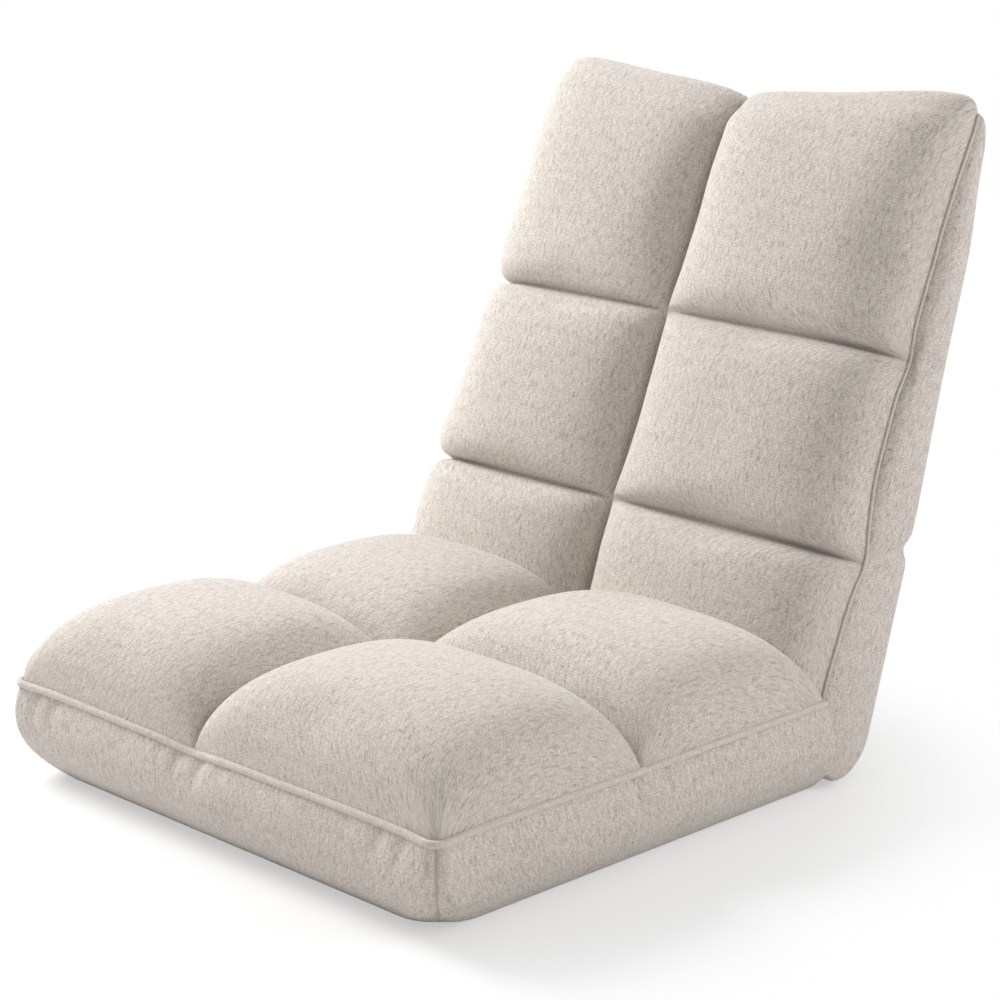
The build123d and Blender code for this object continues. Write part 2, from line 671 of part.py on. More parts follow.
def make_pawl_spring(side):
    """Leaf spring: an eye round a post of the case, and a leaf that lies along the back of the pawl."""
    swing = radians(-PAWL_SWING)
    nose = (pawl_nose()[0] - PAWL_PIN[0], pawl_nose()[1] - PAWL_PIN[1])
    nose_raised = (
        PAWL_PIN[0] + nose[0] * cos(swing) - nose[1] * sin(swing),
        PAWL_PIN[1] + nose[0] * sin(swing) + nose[1] * cos(swing),
    )
    away = (SPRING_POST[0] - nose_raised[0], SPRING_POST[1] - nose_raised[1])
    distance = sqrt(away[0] ** 2 + away[1] ** 2)
    offset = PAWL_NOSE + PAWL_LIFT + SPRING_THICKNESS / 2
    heading = degrees(atan2(-away[1], -away[0]) + asin(offset / distance))
    leaf = Rectangle(distance, SPRING_THICKNESS, align=(Align.MIN, Align.CENTER))
    bore = RIVET_DIAMETER / 2 + WELD_GAP
    outline = Rot(0, 0, heading) * leaf + Circle(bore + SPRING_THICKNESS)
    outline = outline - Circle(bore)
    body = plate(Pos(*SPRING_POST) * outline, GEAR_THICKNESS, side * HINGE_X)
    return on_back(body)


# Zip


def on_rear(shape):
    """A piece of the zip, made flat about the middle of the chain on the cover's outer face."""
    placed = Pos(0, ZIP_HEIGHT, 0) * shape
    return on_back(placed.moved(REAR_FACE.location))


def sheet(length, width, low, high):
    return Pos(0, 0, (low + high) / 2) * Box(length, width, high - low)


def make_zip_tape():
    return on_rear(sheet(ZIP_LENGTH + ZIP_TAPE_WIDTH, ZIP_TAPE_WIDTH, -CLOTH - ZIP_TAPE, -CLOTH))


def make_zip_chain():
    """The closed row of teeth, with a stop at either end."""
    low = -CLOTH
    high = low + ZIP_CHAIN
    chain = sheet(ZIP_LENGTH - ZIP_CHAIN_WIDTH, ZIP_CHAIN_WIDTH, low, high)
    stop = sheet(ZIP_CHAIN_WIDTH / 2, ZIP_CHAIN_WIDTH + 2 * SLIDER_GAP, low, high + SLIDER_GAP)
    for end in (1, -1):
        chain = chain + Pos(end * (ZIP_LENGTH / 2 - ZIP_CHAIN_WIDTH), 0, 0) * stop
    return on_rear(chain)


SLIDER_X = ZIP_LENGTH / 2 - 2 * ZIP_CHAIN_WIDTH - SLIDER_LENGTH / 2  # closed, at one end of the chain
SLIDER_TOP = ZIP_CHAIN - CLOTH + SLIDER_GAP + SLIDER_WALL
BAIL_HEIGHT = SLIDER_TOP + BAIL_DIAMETER


def make_zip_slider():
    """Slider that straddles the chain, with a bail for its pull."""
    low = -CLOTH + SLIDER_GAP
    body = sheet(SLIDER_LENGTH, SLIDER_WIDTH, low, SLIDER_TOP)
    room = sheet(FAR, ZIP_CHAIN_WIDTH + 2 * SLIDER_GAP, -FAR, SLIDER_TOP - SLIDER_WALL)
    body = body - room
    for end in (1, -1):
        ear = Pos(0, end * (PULL_WIDTH / 2 + SLIDER_GAP + SLIDER_WALL / 2), 0) * sheet(
            2 * BAIL_DIAMETER, SLIDER_WALL, SLIDER_TOP - SLIDER_WALL, BAIL_HEIGHT + BAIL_DIAMETER
        )
        body = body + ear
    body = body + bar(BAIL_DIAMETER / 2, PULL_WIDTH + 2 * SLIDER_GAP, (0, 0, BAIL_HEIGHT), Axis.Y)
    return on_rear(Pos(SLIDER_X, 0, 0) * body)


def make_zip_pull():
    """Pull tab: an eye round the bail and a flat tab that lies back along the chain."""
    eye = BAIL_DIAMETER / 2 + PIN_CLEARANCE
    wall = BAIL_DIAMETER / 2 - PIN_CLEARANCE
    outline = Circle(eye + wall) + Pos(-PULL_LENGTH / 2, 0) * Rectangle(PULL_LENGTH, 1.2 * BAIL_DIAMETER)
    outline = outline - Circle(eye)
    flat = Plane(origin=(0, PULL_WIDTH / 2, BAIL_HEIGHT), x_dir=(1, 0, 0), z_dir=(0, 1, 0))
    tab = extrude(flat * outline, -PULL_WIDTH)
    grip = Pos(-0.7 * PULL_LENGTH, 0, BAIL_HEIGHT) * Box(PULL_LENGTH / 3, PULL_WIDTH / 2, FAR)
    return on_rear(Pos(SLIDER_X, 0, 0) * (tab - grip))


# Every node of the chair, by name


def sided(name, make, *more):
    return {f"{name}_{word}": make(side, *more) for word, side in (("left", 1), ("right", -1))}


def all_nodes():
    nodes = {
        "seat_frame_tube": make_seat_frame_tube(),
        "seat_cross_bars": make_seat_cross_bars(),
        "seat_frame_rivets": make_seat_frame_rivets(),
        "seat_foam": make_seat_foam(),
        "seat_felt_pad": make_seat_felt_pad(),
        "seat_bottom_panel": make_seat_bottom_panel(),
        "seat_boxing": make_seat_boxing(),
        "seat_rear_lining": make_seat_rear_lining(),
        "crease_gusset": make_crease_gusset(),
        "seat_quilt_backing": make_seat_quilt_backing(),
        "seat_welt": make_seat_welt(),
        "back_frame_tube": make_back_frame_tube(),
        "back_cross_bars": make_back_cross_bars(),
        "back_frame_rivets": make_back_frame_rivets(),
        "back_foam": make_back_foam(),
        "back_cover": make_back_cover(),
        "back_quilt_backing": make_back_quilt_backing(),
        "zip_tape": make_zip_tape(),
        "zip_chain": make_zip_chain(),
        "zip_slider": make_zip_slider(),
        "zip_pull": make_zip_pull(),
    }
    nodes |= sided("seat_pillow_front", seat_pillow, True)
    nodes |= sided("seat_pillow_rear", seat_pillow, False)
    nodes |= sided("back_pillow_lower", back_pillow, LOWER_ROW_START, LOWER_SEAM)
    nodes |= sided("back_pillow_middle", back_pillow, LOWER_SEAM, UPPER_SEAM)
    nodes |= sided("back_pillow_upper", back_pillow, UPPER_SEAM, UPPER_ROW_END)
    nodes |= sided("back_side", make_back_side)
    nodes |= sided("hinge_gear_arm", make_gear_arm)
    nodes |= sided("hinge_case_outer", make_hinge_case, 1)
    nodes |= sided("hinge_case_inner", make_hinge_case, -1)
    nodes |= sided("hinge_pin", make_hinge_pin)
    nodes |= sided("pawl_pin", make_pawl_pin)
    nodes |= sided("pawl_spring", make_pawl_spring)
    nodes |= sided("hinge_pawl", make_pawl)
    return nodes


os.makedirs("parts", exist_ok=True)
for name, shape in all_nodes().items():
    export_step(shape, f"parts/{name}.step")
    print(f"{name:24s} {len(shape.solids()):2d} solids {shape.volume / 1000:10.2f} cm3")
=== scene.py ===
# %% [markdown]
# A floor chair: a quilted seat that lies on the floor, and a quilted back that leans against
# it and turns on two ratchet hinges hidden in the cover. The imported model holds the frame,
# the hinges, the zip and plain soft solids. This lesson dresses it: every cover, pad, piping
# and seam is made here as cloth, and each piece but the crease gusset rides on the body that carries it.

# %% Load the imported frame
import math
import bpy
import numpy as np
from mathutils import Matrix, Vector


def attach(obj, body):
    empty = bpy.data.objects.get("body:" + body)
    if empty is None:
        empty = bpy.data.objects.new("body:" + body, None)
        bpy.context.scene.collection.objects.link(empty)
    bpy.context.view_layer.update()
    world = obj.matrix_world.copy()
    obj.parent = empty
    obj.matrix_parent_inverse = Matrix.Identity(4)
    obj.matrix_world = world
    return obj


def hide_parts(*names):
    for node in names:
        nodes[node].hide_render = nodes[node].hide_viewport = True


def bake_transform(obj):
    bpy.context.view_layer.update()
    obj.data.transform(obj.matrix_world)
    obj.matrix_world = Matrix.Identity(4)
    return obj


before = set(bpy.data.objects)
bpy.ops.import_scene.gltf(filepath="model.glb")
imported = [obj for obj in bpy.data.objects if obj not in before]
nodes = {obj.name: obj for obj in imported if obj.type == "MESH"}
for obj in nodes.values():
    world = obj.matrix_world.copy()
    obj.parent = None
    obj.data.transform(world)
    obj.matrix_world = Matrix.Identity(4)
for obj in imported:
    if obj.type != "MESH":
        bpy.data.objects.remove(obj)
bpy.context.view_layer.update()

# %% [markdown]
# The chair's main sizes come first, in metres, because every cover is drawn from them. The
# origin is on the floor under the middle of the seat, the sitter looks along -Y, and +X is
# the sitter's left. The back has directions of its own: P runs up it from the hinge axis and
# Q points out of its front.

# %% Sizes of the seat and the back
SEAT_HALF = 0.265
SEAT_FRONT = -0.228
SEAT_REAR = 0.222
CORNER = 0.013
SEAM = 0.0835
WELT = 0.0035
HINGE = np.array([0.0, 0.258, 0.046])
LEAN = math.radians(20.0)
P = np.array([0.0, math.sin(LEAN), math.cos(LEAN)])
Q = np.array([0.0, -math.cos(LEAN), math.sin(LEAN)])
KNUCKLE, TOP_ROUND, TOP_CENTRE = 0.042, 0.012, 0.525
TAPER = math.asin((KNUCKLE - TOP_ROUND) / TOP_CENTRE)
FACE_LENGTH = TOP_CENTRE * math.cos(TAPER)
ROWS = (0.012, 0.142, 0.318, 0.537)
FRONT_TUFT, BACK_TUFT = -0.030, -0.012


def middle_seam(y):
    return BACK_TUFT + (FRONT_TUFT - BACK_TUFT) * (SEAT_REAR - y) / (SEAT_REAR - SEAT_FRONT)


print("back leans", round(math.degrees(LEAN), 1), "deg, taper", round(math.degrees(TAPER), 2), "deg")

# %% [markdown]
# Cloth panels are grids of points, because a grid follows a seam exactly and carries a weave
# map: the place of each point on the flat cloth, in metres, with the warp along its second
# number. The threads then run along each panel as a cutter lays them.

# %% Helper: a cloth panel from a grid of points
def cloth_panel(name, points, weave, ring=False):
    points = np.asarray(points, float)
    rows, columns = points.shape[:2]
    i, j = np.meshgrid(np.arange(rows - 1), np.arange(columns if ring else columns - 1), indexing="ij")
    i, j = i.ravel(), j.ravel()
    k = (j + 1) % columns
    faces = np.stack([i * columns + j, i * columns + k, (i + 1) * columns + k, (i + 1) * columns + j], 1)
    mesh = bpy.data.meshes.new(name)
    mesh.from_pydata(points.reshape(-1, 3).tolist(), [], faces.tolist())
    corners = np.stack([weave[i, j], weave[i, j + 1], weave[i + 1, j + 1], weave[i + 1, j]], 1)
    layer = mesh.uv_layers.new(name="weave")
    layer.data.foreach_set("uv", corners.reshape(-1).astype(np.float32))
    mesh.shade_smooth()
    piece = bpy.data.objects.new(name, mesh)
    bpy.context.scene.collection.objects.link(piece)
    return piece


def run_length(points):
    step = np.linalg.norm(np.diff(points, axis=0), axis=1)
    return np.concatenate([[0.0], np.cumsum(step)])


def lengths_along(points):
    points = np.asarray(points, float)
    across = np.linalg.norm(np.diff(points, axis=1), axis=2).cumsum(1)
    along = np.linalg.norm(np.diff(points, axis=0), axis=2).cumsum(0)
    across = np.pad(across, ((0, 0), (1, 0)))
    along = np.pad(along, ((1, 0), (0, 0)))
    return np.stack([across - across[:, [points.shape[1] // 2]], along - along[[points.shape[0] // 2]]], 2)


def smooth(value):
    t = np.clip(value, 0.0, 1.0)
    return t * t * (3 - 2 * t)


# %% Helper: a round tube along a line of points
def piping(name, path, radius, sides=12):
    path = np.asarray(path, float)
    along = np.gradient(path, axis=0)
    along /= np.linalg.norm(along, axis=1)[:, None]
    across = np.cross(along[0], [0.31, 0.22, 0.92])
    rings = []
    turn = np.linspace(0, 2 * math.pi, sides, endpoint=False)
    for point, way in zip(path, along):
        across = across - way * np.dot(across, way)
        across /= np.linalg.norm(across)
        other = np.cross(way, across)
        rings.append(point + radius * (np.cos(turn)[:, None] * across + np.sin(turn)[:, None] * other))
    length = run_length(path)
    round_about = np.linspace(0, 2 * math.pi * radius, sides + 1)
    weave = np.stack(np.broadcast_arrays(round_about[None, :], length[:, None]), 2)
    return cloth_panel(name, np.array(rings), weave, ring=True)


# %% [markdown]
# The cover is a slub cloth: warp threads of uneven thickness, so short darker dashes and pale
# streaks run one way over a fine plain weave. It is a node group, because the quilt, the sides
# and the piping all wear it, each with its own strength. The group gives a shade, a height and
# a roughness that change over the cloth; the shader itself stays in each material.

# %% Node helpers
def sum_of(tree, operation, first, second=None, clamp=False):
    node = tree.nodes.new("ShaderNodeMath")
    node.operation, node.use_clamp = operation, clamp
    for socket, value in zip(node.inputs, (first, second)):
        if value is None:
            continue
        if isinstance(value, (int, float)):
            socket.default_value = value
        else:
            tree.links.new(value, socket)
    return node.outputs[0]


def group_with(name, inputs, outputs):
    tree = bpy.data.node_groups.new(name, "ShaderNodeTree")
    for label, kind, value in inputs:
        socket = tree.interface.new_socket(label, in_out="INPUT", socket_type=kind)
        if value is not None:
            socket.default_value = value
    for label, kind in outputs:
        tree.interface.new_socket(label, in_out="OUTPUT", socket_type=kind)
    return tree, tree.nodes.new("NodeGroupInput"), tree.nodes.new("NodeGroupOutput")


def stretched_noise(tree, vector, scale, detail, low, high):
    mapping = tree.nodes.new("ShaderNodeMapping")
    mapping.inputs["Scale"].default_value = scale
    tree.links.new(vector, mapping.inputs["Vector"])
    noise = tree.nodes.new("ShaderNodeTexNoise")
    noise.inputs["Scale"].default_value = 1.0
    noise.inputs["Detail"].default_value = detail
    tree.links.new(mapping.outputs[0], noise.inputs["Vector"])
    ramp = tree.nodes.new("ShaderNodeMapRange")
    ramp.inputs["From Min"].default_value = low
    ramp.inputs["From Max"].default_value = high
    tree.links.new(noise.outputs["Fac"], ramp.inputs["Value"])
    return ramp.outputs["Result"]


# %% Node group: slub weave
FLOAT, VECTOR = "NodeSocketFloat", "NodeSocketVector"
slub_weave, take, give = group_with(
    "slub_weave",
    [("Flat cloth", VECTOR, None), ("Slub", FLOAT, 0.5), ("Threads", FLOAT, 0.5), ("Patches", FLOAT, 0.3)],
    [("Shade", FLOAT), ("Height", FLOAT), ("Roughness", FLOAT)],
)
flat = take.outputs["Flat cloth"]
WARP_THREADS, WEFT_THREADS = 440, 390  # per metre
LINE_THINNESS = 16.0
STREAK_SHARE, DASH_SHARE, CROSS_SHARE, WEFT_SHARE, PATCH_SHARE = 0.45, 0.56, 0.22, 1.35, 0.6
MEAN_SHADE, MEAN_ROUGHNESS, SMOOTHER_ON_TOP = 0.62, 0.93, -0.12
streak = stretched_noise(slub_weave, flat, scale=(900.0, 130.0, 1.0), detail=2.0, low=0.34, high=0.66)
contour = stretched_noise(slub_weave, flat, scale=(560.0, 56.0, 1.0), detail=1.0, low=0.0, high=1.0)
broken = stretched_noise(slub_weave, flat, scale=(260.0, 105.0, 1.0), detail=1.0, low=0.36, high=0.58)
weft = stretched_noise(slub_weave, flat, scale=(280.0, 820.0, 1.0), detail=2.0, low=0.32, high=0.68)
patch = stretched_noise(slub_weave, flat, scale=(9.0, 7.0, 1.0), detail=3.0, low=0.30, high=0.70)


def woven(operation, first, second=None, clamp=False):
    return sum_of(slub_weave, operation, first, second, clamp)


def part_of(value, strength):
    return woven("MULTIPLY", woven("SUBTRACT", value, 0.5), strength)


def thread_wave(place, threads):
    return woven("SINE", woven("MULTIPLY", place, 2 * math.pi * threads))


ridge = woven("ABSOLUTE", woven("SUBTRACT", contour, 0.5))
line = woven("SUBTRACT", 1.0, woven("MULTIPLY", ridge, LINE_THINNESS), clamp=True)
dash = woven("MULTIPLY", line, broken)
split = slub_weave.nodes.new("ShaderNodeSeparateXYZ")
slub_weave.links.new(flat, split.inputs[0])
warp_wave = thread_wave(split.outputs[0], WARP_THREADS)
weft_wave = thread_wave(split.outputs[1], WEFT_THREADS)
cross = woven("MULTIPLY", woven("MULTIPLY", warp_wave, weft_wave), CROSS_SHARE)
uneven = woven("SUBTRACT", part_of(streak, STREAK_SHARE), woven("MULTIPLY", dash, DASH_SHARE))
slubs = woven("MULTIPLY", uneven, take.outputs["Slub"])
plain = woven("ADD", cross, part_of(weft, WEFT_SHARE))
height = woven("ADD", slubs, woven("MULTIPLY", plain, take.outputs["Threads"]))
slub_weave.links.new(height, give.inputs["Height"])
cloudy = woven("MULTIPLY", part_of(patch, PATCH_SHARE), take.outputs["Patches"])
shade = woven("ADD", woven("ADD", height, cloudy), MEAN_SHADE, clamp=True)
slub_weave.links.new(shade, give.inputs["Shade"])
rough = woven("MULTIPLY_ADD", height, SMOOTHER_ON_TOP)
rough.node.inputs[2].default_value = MEAN_ROUGHNESS
slub_weave.links.new(rough, give.inputs["Roughness"])
print("node group:", slub_weave.name, len(slub_weave.nodes), "nodes")

# %% [markdown]
# Metal and paint wear in the same way on every part: fine scratches and dull patches. One group
# gives that wear to the steel of the hinges, the painted tubes, the zip and the grip dots.

# %% Node group: handling marks
marks, take, give = group_with(
    "handling_marks",
    [("Place", VECTOR, None), ("Scratches", FLOAT, 0.5), ("Dullness", FLOAT, 0.3)],
    [("Shade", FLOAT), ("Roughness", FLOAT), ("Height", FLOAT)],
)
CLEAN_ROUGHNESS, SCRATCH_ROUGHNESS, DULL_SHADE = 0.22, 0.25, 0.6
place = take.outputs["Place"]
fine = stretched_noise(marks, place, scale=(60.0, 900.0, 900.0), detail=2.0, low=0.45, high=0.75)
cloud = stretched_noise(marks, place, scale=(45.0, 45.0, 45.0), detail=4.0, low=0.30, high=0.75)
scratch = sum_of(marks, "MULTIPLY", fine, take.outputs["Scratches"])
dull = sum_of(marks, "MULTIPLY", cloud, take.outputs["Dullness"])
shade = sum_of(marks, "SUBTRACT", 1.0, sum_of(marks, "MULTIPLY", dull, DULL_SHADE), clamp=True)
marks.links.new(shade, give.inputs["Shade"])
rough = sum_of(marks, "ADD", sum_of(marks, "MULTIPLY", scratch, SCRATCH_ROUGHNESS), dull)
rough = sum_of(marks, "ADD", rough, CLEAN_ROUGHNESS, clamp=True)
marks.links.new(rough, give.inputs["Roughness"])
marks.links.new(scratch, give.inputs["Height"])
print("node group:", marks.name, len(marks.nodes), "nodes")

# %% Helper: materials that use the groups
def mixed_colour(tree, shade, dark, light):
    mix = tree.nodes.new("ShaderNodeMix")
    mix.data_type = "RGBA"
    mix.inputs[6].default_value = (*dark, 1.0)
    mix.inputs[7].default_value = (*light, 1.0)
    tree.links.new(shade, mix.inputs[0])
    return mix.outputs[2]


def new_material(name):
    material = bpy.data.materials.new(name)
    material.use_nodes = True
    return material, material.node_tree, material.node_tree.nodes["Principled BSDF"]


def add_relief(tree, shader, height, strength, depth):
    relief = tree.nodes.new("ShaderNodeBump")
    relief.inputs["Strength"].default_value = strength
    relief.inputs["Distance"].default_value = depth
    tree.links.new(height, relief.inputs["Height"])
    tree.links.new(relief.outputs[0], shader.inputs["Normal"])


def woven_material(name, dark, light, slub=0.5, threads=0.26, patches=0.08, bump=0.55, depth=0.0008,
                   sheen=0.25, by_place=False):
    material, tree, shader = new_material(name)
    if by_place:
        place = tree.nodes.new("ShaderNodeTexCoord").outputs["Object"]
    else:
        source = tree.nodes.new("ShaderNodeUVMap")
        source.uv_map = "weave"
        place = source.outputs[0]
    weave = tree.nodes.new("ShaderNodeGroup")
    weave.node_tree = slub_weave
    for label, value in (("Slub", slub), ("Threads", threads), ("Patches", patches)):
        weave.inputs[label].default_value = value
    tree.links.new(place, weave.inputs["Flat cloth"])
    tree.links.new(mixed_colour(tree, weave.outputs["Shade"], dark, light), shader.inputs["Base Color"])
    tree.links.new(weave.outputs["Roughness"], shader.inputs["Roughness"])
    add_relief(tree, shader, weave.outputs["Height"], bump, depth)
    shader.inputs["Specular IOR Level"].default_value = 0.25
    shader.inputs["Sheen Weight"].default_value = sheen
    shader.inputs["Sheen Roughness"].default_value = 0.5
    return material


def worn_material(name, dark, light, metallic, scratches, dullness, bump=0.2, depth=0.0002):
    material, tree, shader = new_material(name)
    wear = tree.nodes.new("ShaderNodeGroup")
    wear.node_tree = marks
    wear.inputs["Scratches"].default_value = scratches
    wear.inputs["Dullness"].default_value = dullness
    tree.links.new(tree.nodes.new("ShaderNodeTexCoord").outputs["Object"], wear.inputs["Place"])
    tree.links.new(mixed_colour(tree, wear.outputs["Shade"], dark, light), shader.inputs["Base Color"])
    tree.links.new(wear.outputs["Roughness"], shader.inputs["Roughness"])
    add_relief(tree, shader, wear.outputs["Height"], bump, depth)
    shader.inputs["Metallic"].default_value = metallic
    return material


# %% The finishes of the chair
cover_cloth = woven_material("cover_cloth", (0.22, 0.19, 0.165), (0.80, 0.732, 0.668))
seam_cloth = woven_material("seam_cloth", (0.29, 0.255, 0.22), (0.77, 0.70, 0.635), slub=0.25)
# The lining's own darker cloth; on the band's corner seams it is painted shade of their groove.
lining_cloth = woven_material("lining_cloth", (0.30, 0.27, 0.23), (0.52, 0.47, 0.41), slub=0.2)
grip_cloth = woven_material("grip_cloth", (0.012, 0.012, 0.013), (0.035, 0.034, 0.034),
                            slub=0.2, sheen=0.1)
felt_grey = woven_material("felt_grey", (0.16, 0.16, 0.17), (0.30, 0.30, 0.31),
                           threads=0.1, by_place=True)
foam_cream = woven_material("foam_cream", (0.60, 0.52, 0.36), (0.80, 0.72, 0.54),
                            threads=0.1, by_place=True)
frame_paint = worn_material("frame_paint", (0.010, 0.010, 0.011), (0.030, 0.030, 0.032),
                            metallic=0.0, scratches=0.2, dullness=0.4)
zinc_steel = worn_material("zinc_steel", (0.32, 0.33, 0.34), (0.62, 0.63, 0.65),
                           metallic=1.0, scratches=0.6, dullness=0.3)
zip_tape_cloth = woven_material("zip_tape_cloth", (0.36, 0.32, 0.27), (0.62, 0.56, 0.49),
                                slub=0.1, by_place=True)
zip_nylon = worn_material("zip_nylon", (0.48, 0.43, 0.37), (0.66, 0.60, 0.53),
                          metallic=0.0, scratches=0.2, dullness=0.3)
zip_metal = worn_material("zip_metal", (0.30, 0.29, 0.27), (0.58, 0.56, 0.53),
                          metallic=1.0, scratches=0.5, dullness=0.4)
grip_dots = worn_material("grip_dots", (0.020, 0.020, 0.021), (0.050, 0.050, 0.052),
                          metallic=0.0, scratches=0.1, dullness=0.5)
print("materials:", len(bpy.data.materials))

# %% [markdown]
# Padded cloth gets its last shape from a short cloth run: the seams are held, a little air
# pressure fills the chambers, and the cloth has some slack, so it swells and puckers where it
# is sewn down. Modelling the puckers by hand is possible, but the run finds where they belong.
# The wadding under the cloth evens its folds, so the movement is averaged with its neighbours,
# and it is capped and kept in its chamber, so the pad stays close to its drawn shape.

# %% Helper: let a sewn panel settle
AVERAGING_PASSES = 8


def settle(piece, sewn, pressure, slack, cap, keep, frames=20):
    rows, columns = sewn.shape
    sewn = sewn.ravel()
    mesh = piece.data
    start = np.empty(len(mesh.vertices) * 3, np.float32)
    mesh.vertices.foreach_get("co", start)
    held = piece.vertex_groups.new(name="sewn")
    held.add([int(v) for v in np.flatnonzero(sewn)], 1.0, "REPLACE")
    cloth = piece.modifiers.new("settle", "CLOTH")
    cloth.collision_settings.use_collision = False
    rules = cloth.settings
    rules.quality = 6
    rules.mass = 0.2
    rules.tension_stiffness = rules.compression_stiffness = 14
    rules.shear_stiffness = 5
    rules.bending_stiffness = 0.6
    rules.vertex_group_mass = "sewn"
    rules.shrink_min = -slack
    rules.use_pressure = True
    rules.uniform_pressure_force = pressure
    rules.effector_weights.gravity = 0.0
    for step in range(1, frames + 1):
        bpy.context.scene.frame_set(step)
    seen = piece.evaluated_get(bpy.context.evaluated_depsgraph_get()).to_mesh()
    end = np.empty_like(start)
    seen.vertices.foreach_get("co", end)
    piece.modifiers.remove(cloth)
    move = (end - start).reshape(rows, columns, 3)
    for _ in range(AVERAGING_PASSES):
        beside = move[:-2, 1:-1] + move[2:, 1:-1] + move[1:-1, :-2] + move[1:-1, 2:]
        move[1:-1, 1:-1] = beside / 8 + move[1:-1, 1:-1] / 2
    move = move.reshape(-1, 3)
    move[sewn] = 0.0
    far = np.linalg.norm(move, axis=1)
    move *= np.minimum(1.0, cap / np.maximum(far, 1e-9))[:, None]
    mesh.vertices.foreach_set("co", keep(start.reshape(-1, 3) + move).astype(np.float32).reshape(-1))
    mesh.update()
    bpy.context.scene.frame_set(1)
    print(piece.name, "settled, moved up to", round(float(far.max()) * 1000, 1), "mm")


def finer(piece):
    divide = piece.modifiers.new("finer", "SUBSURF")
    divide.levels = divide.render_levels = 1


# %% [markdown]
# The piped seam runs from one rear corner of the seat round the front to the other. Where the
# quilting lines reach it, they pull it down and in. Everything on the seat hangs on this line:
# the quilt's edge, the piping and the upper edge of the side band.

# %% The seat's seam line
NEAR_PULL, WIDE_PULL = 0.026, 0.21  # reach of a quilting line's pull along the piped seam
SEAM_DIP, SEAM_DRAW_IN, SIDE_SHARE = 0.0060, 0.005, 0.5


def seam_pull(distance):
    near = np.exp(-((distance / NEAR_PULL) ** 2))
    wide = np.clip(1 - np.abs(distance) / WIDE_PULL, 0, 1) ** 1.2
    return 0.40 * near + 0.60 * wide


SIDE_COUNT, FRONT_COUNT = 110, 90
corner_turn = np.linspace(0, math.pi / 2, 19)[1:-1]
mirror = np.array([-1.0, 1.0])


def half_plan_at(inset, radius):
    edge_x, edge_y = SEAT_HALF - inset - radius, SEAT_FRONT + inset + radius
    side = np.linspace(SEAT_REAR, edge_y, SIDE_COUNT)
    arc = np.stack([edge_x + radius * np.cos(corner_turn), edge_y - radius * np.sin(corner_turn)], 1)
    along = np.linspace(edge_x, 0, FRONT_COUNT)
    return np.concatenate([np.stack([np.full(SIDE_COUNT, edge_x + radius), side], 1), arc,
                           np.stack([along, np.full(FRONT_COUNT, edge_y - radius)], 1)])


def plan_at(inset, left_radius, right_radius):
    right = half_plan_at(inset, right_radius)[-2::-1] * mirror
    return np.concatenate([half_plan_at(inset, left_radius), right])


half_out = np.concatenate([
    np.tile([1.0, 0.0], (SIDE_COUNT, 1)),
    np.stack([np.cos(corner_turn), -np.sin(corner_turn)], 1),
    np.tile([0.0, -1.0], (FRONT_COUNT, 1)),
])
plan = plan_at(0.0, CORNER, CORNER)
outward = np.concatenate([half_out, half_out[-2::-1] * mirror])
plan_length = run_length(plan)
on_front = np.abs(outward[:, 1]) > 0.7
pulled = np.where(on_front, seam_pull(plan[:, 0] - FRONT_TUFT), SIDE_SHARE * seam_pull(plan[:, 1]))
to_corner = np.abs(np.abs(plan[:, 0]) - SEAT_HALF) + np.abs(plan[:, 1] - SEAT_FRONT)
seam_height = SEAM - SEAM_DIP * pulled - 0.001 * np.exp(-((to_corner / 0.04) ** 2))
seam_inset = WELT + SEAM_DRAW_IN * pulled - 0.003 * np.exp(-((to_corner / 0.03) ** 2))
seam_line = np.column_stack([plan - outward * seam_inset[:, None], seam_height])
seam_long, seam_low = float(run_length(seam_line)[-1]), float(seam_height.min())
print("piped seam:", round(seam_long, 3), "m, dips to", round(seam_low, 4), "m")

# %% [markdown]
# The seat's quilt is one sheet of cover cloth sewn to its backing along a cross of quilting
# lines, which makes four pillows. Each pillow is drawn as a dome that is steep at its seams
# and full in the middle. The grid is closer along the seams, where the cloth turns most.

# %% The seat quilt
def chamber_steps(count):
    t = np.linspace(-1, 1, count)
    return 0.6 * np.sin(t * math.pi / 2) + 0.4 * t


def dome(across, along, across_power, along_power, fullness):
    rise = (1 - np.abs(across) ** across_power) * (1 - np.abs(along) ** along_power)
    return np.clip(rise, 0, 1) ** fullness


def joined(parts):
    return np.concatenate([part if n == 0 else part[1:] for n, part in enumerate(parts)])


FRONT_CROWN, REAR_CROWN, SEAT_FULLNESS, SEAT_POWER = 0.158, 0.154, 0.39, 3.0
SEAM_RISE = 0.006  # of the crossing of the quilting lines over the piped seam
pad = chamber_steps(41)
local_u = joined([pad, pad])
local_v = local_u.copy()
u = joined([(pad - 1) / 2, (pad + 1) / 2])
v = u.copy()
V, U = np.meshgrid(v, u, indexing="ij")
LV, LU = np.meshgrid(local_v, local_u, indexing="ij")
half = SEAT_HALF - WELT
front, rear = SEAT_FRONT + WELT, SEAT_REAR
Y = np.where(V < 0, -V * front, V * rear)
X = middle_seam(Y) * (1 - np.abs(U)) + U * half
corner = CORNER - WELT
dx = np.clip((np.abs(X) - (half - corner)) / corner, 0, 1)
dy = np.clip(((front + corner) - Y) / corner, 0, 1)
both = (dx > 0) & (dy > 0)
X = np.where(both, np.sign(X) * (half - corner + corner * dx * np.sqrt(1 - dy**2 / 2)), X)
Y = np.where(both, front + corner - corner * dy * np.sqrt(1 - dx**2 / 2), Y)
side_pull = SIDE_SHARE * seam_pull(Y) * np.abs(U) ** 10
front_pull = seam_pull(X - FRONT_TUFT) * np.clip(-V, 0, 1) ** 10
X = X - np.sign(U) * SEAM_DRAW_IN * side_pull
Y = Y + SEAM_DRAW_IN * front_pull
floor = SEAM + SEAM_RISE * (1 - U**4) * (1 - V**4) - SEAM_DIP * np.maximum(side_pull, front_pull)
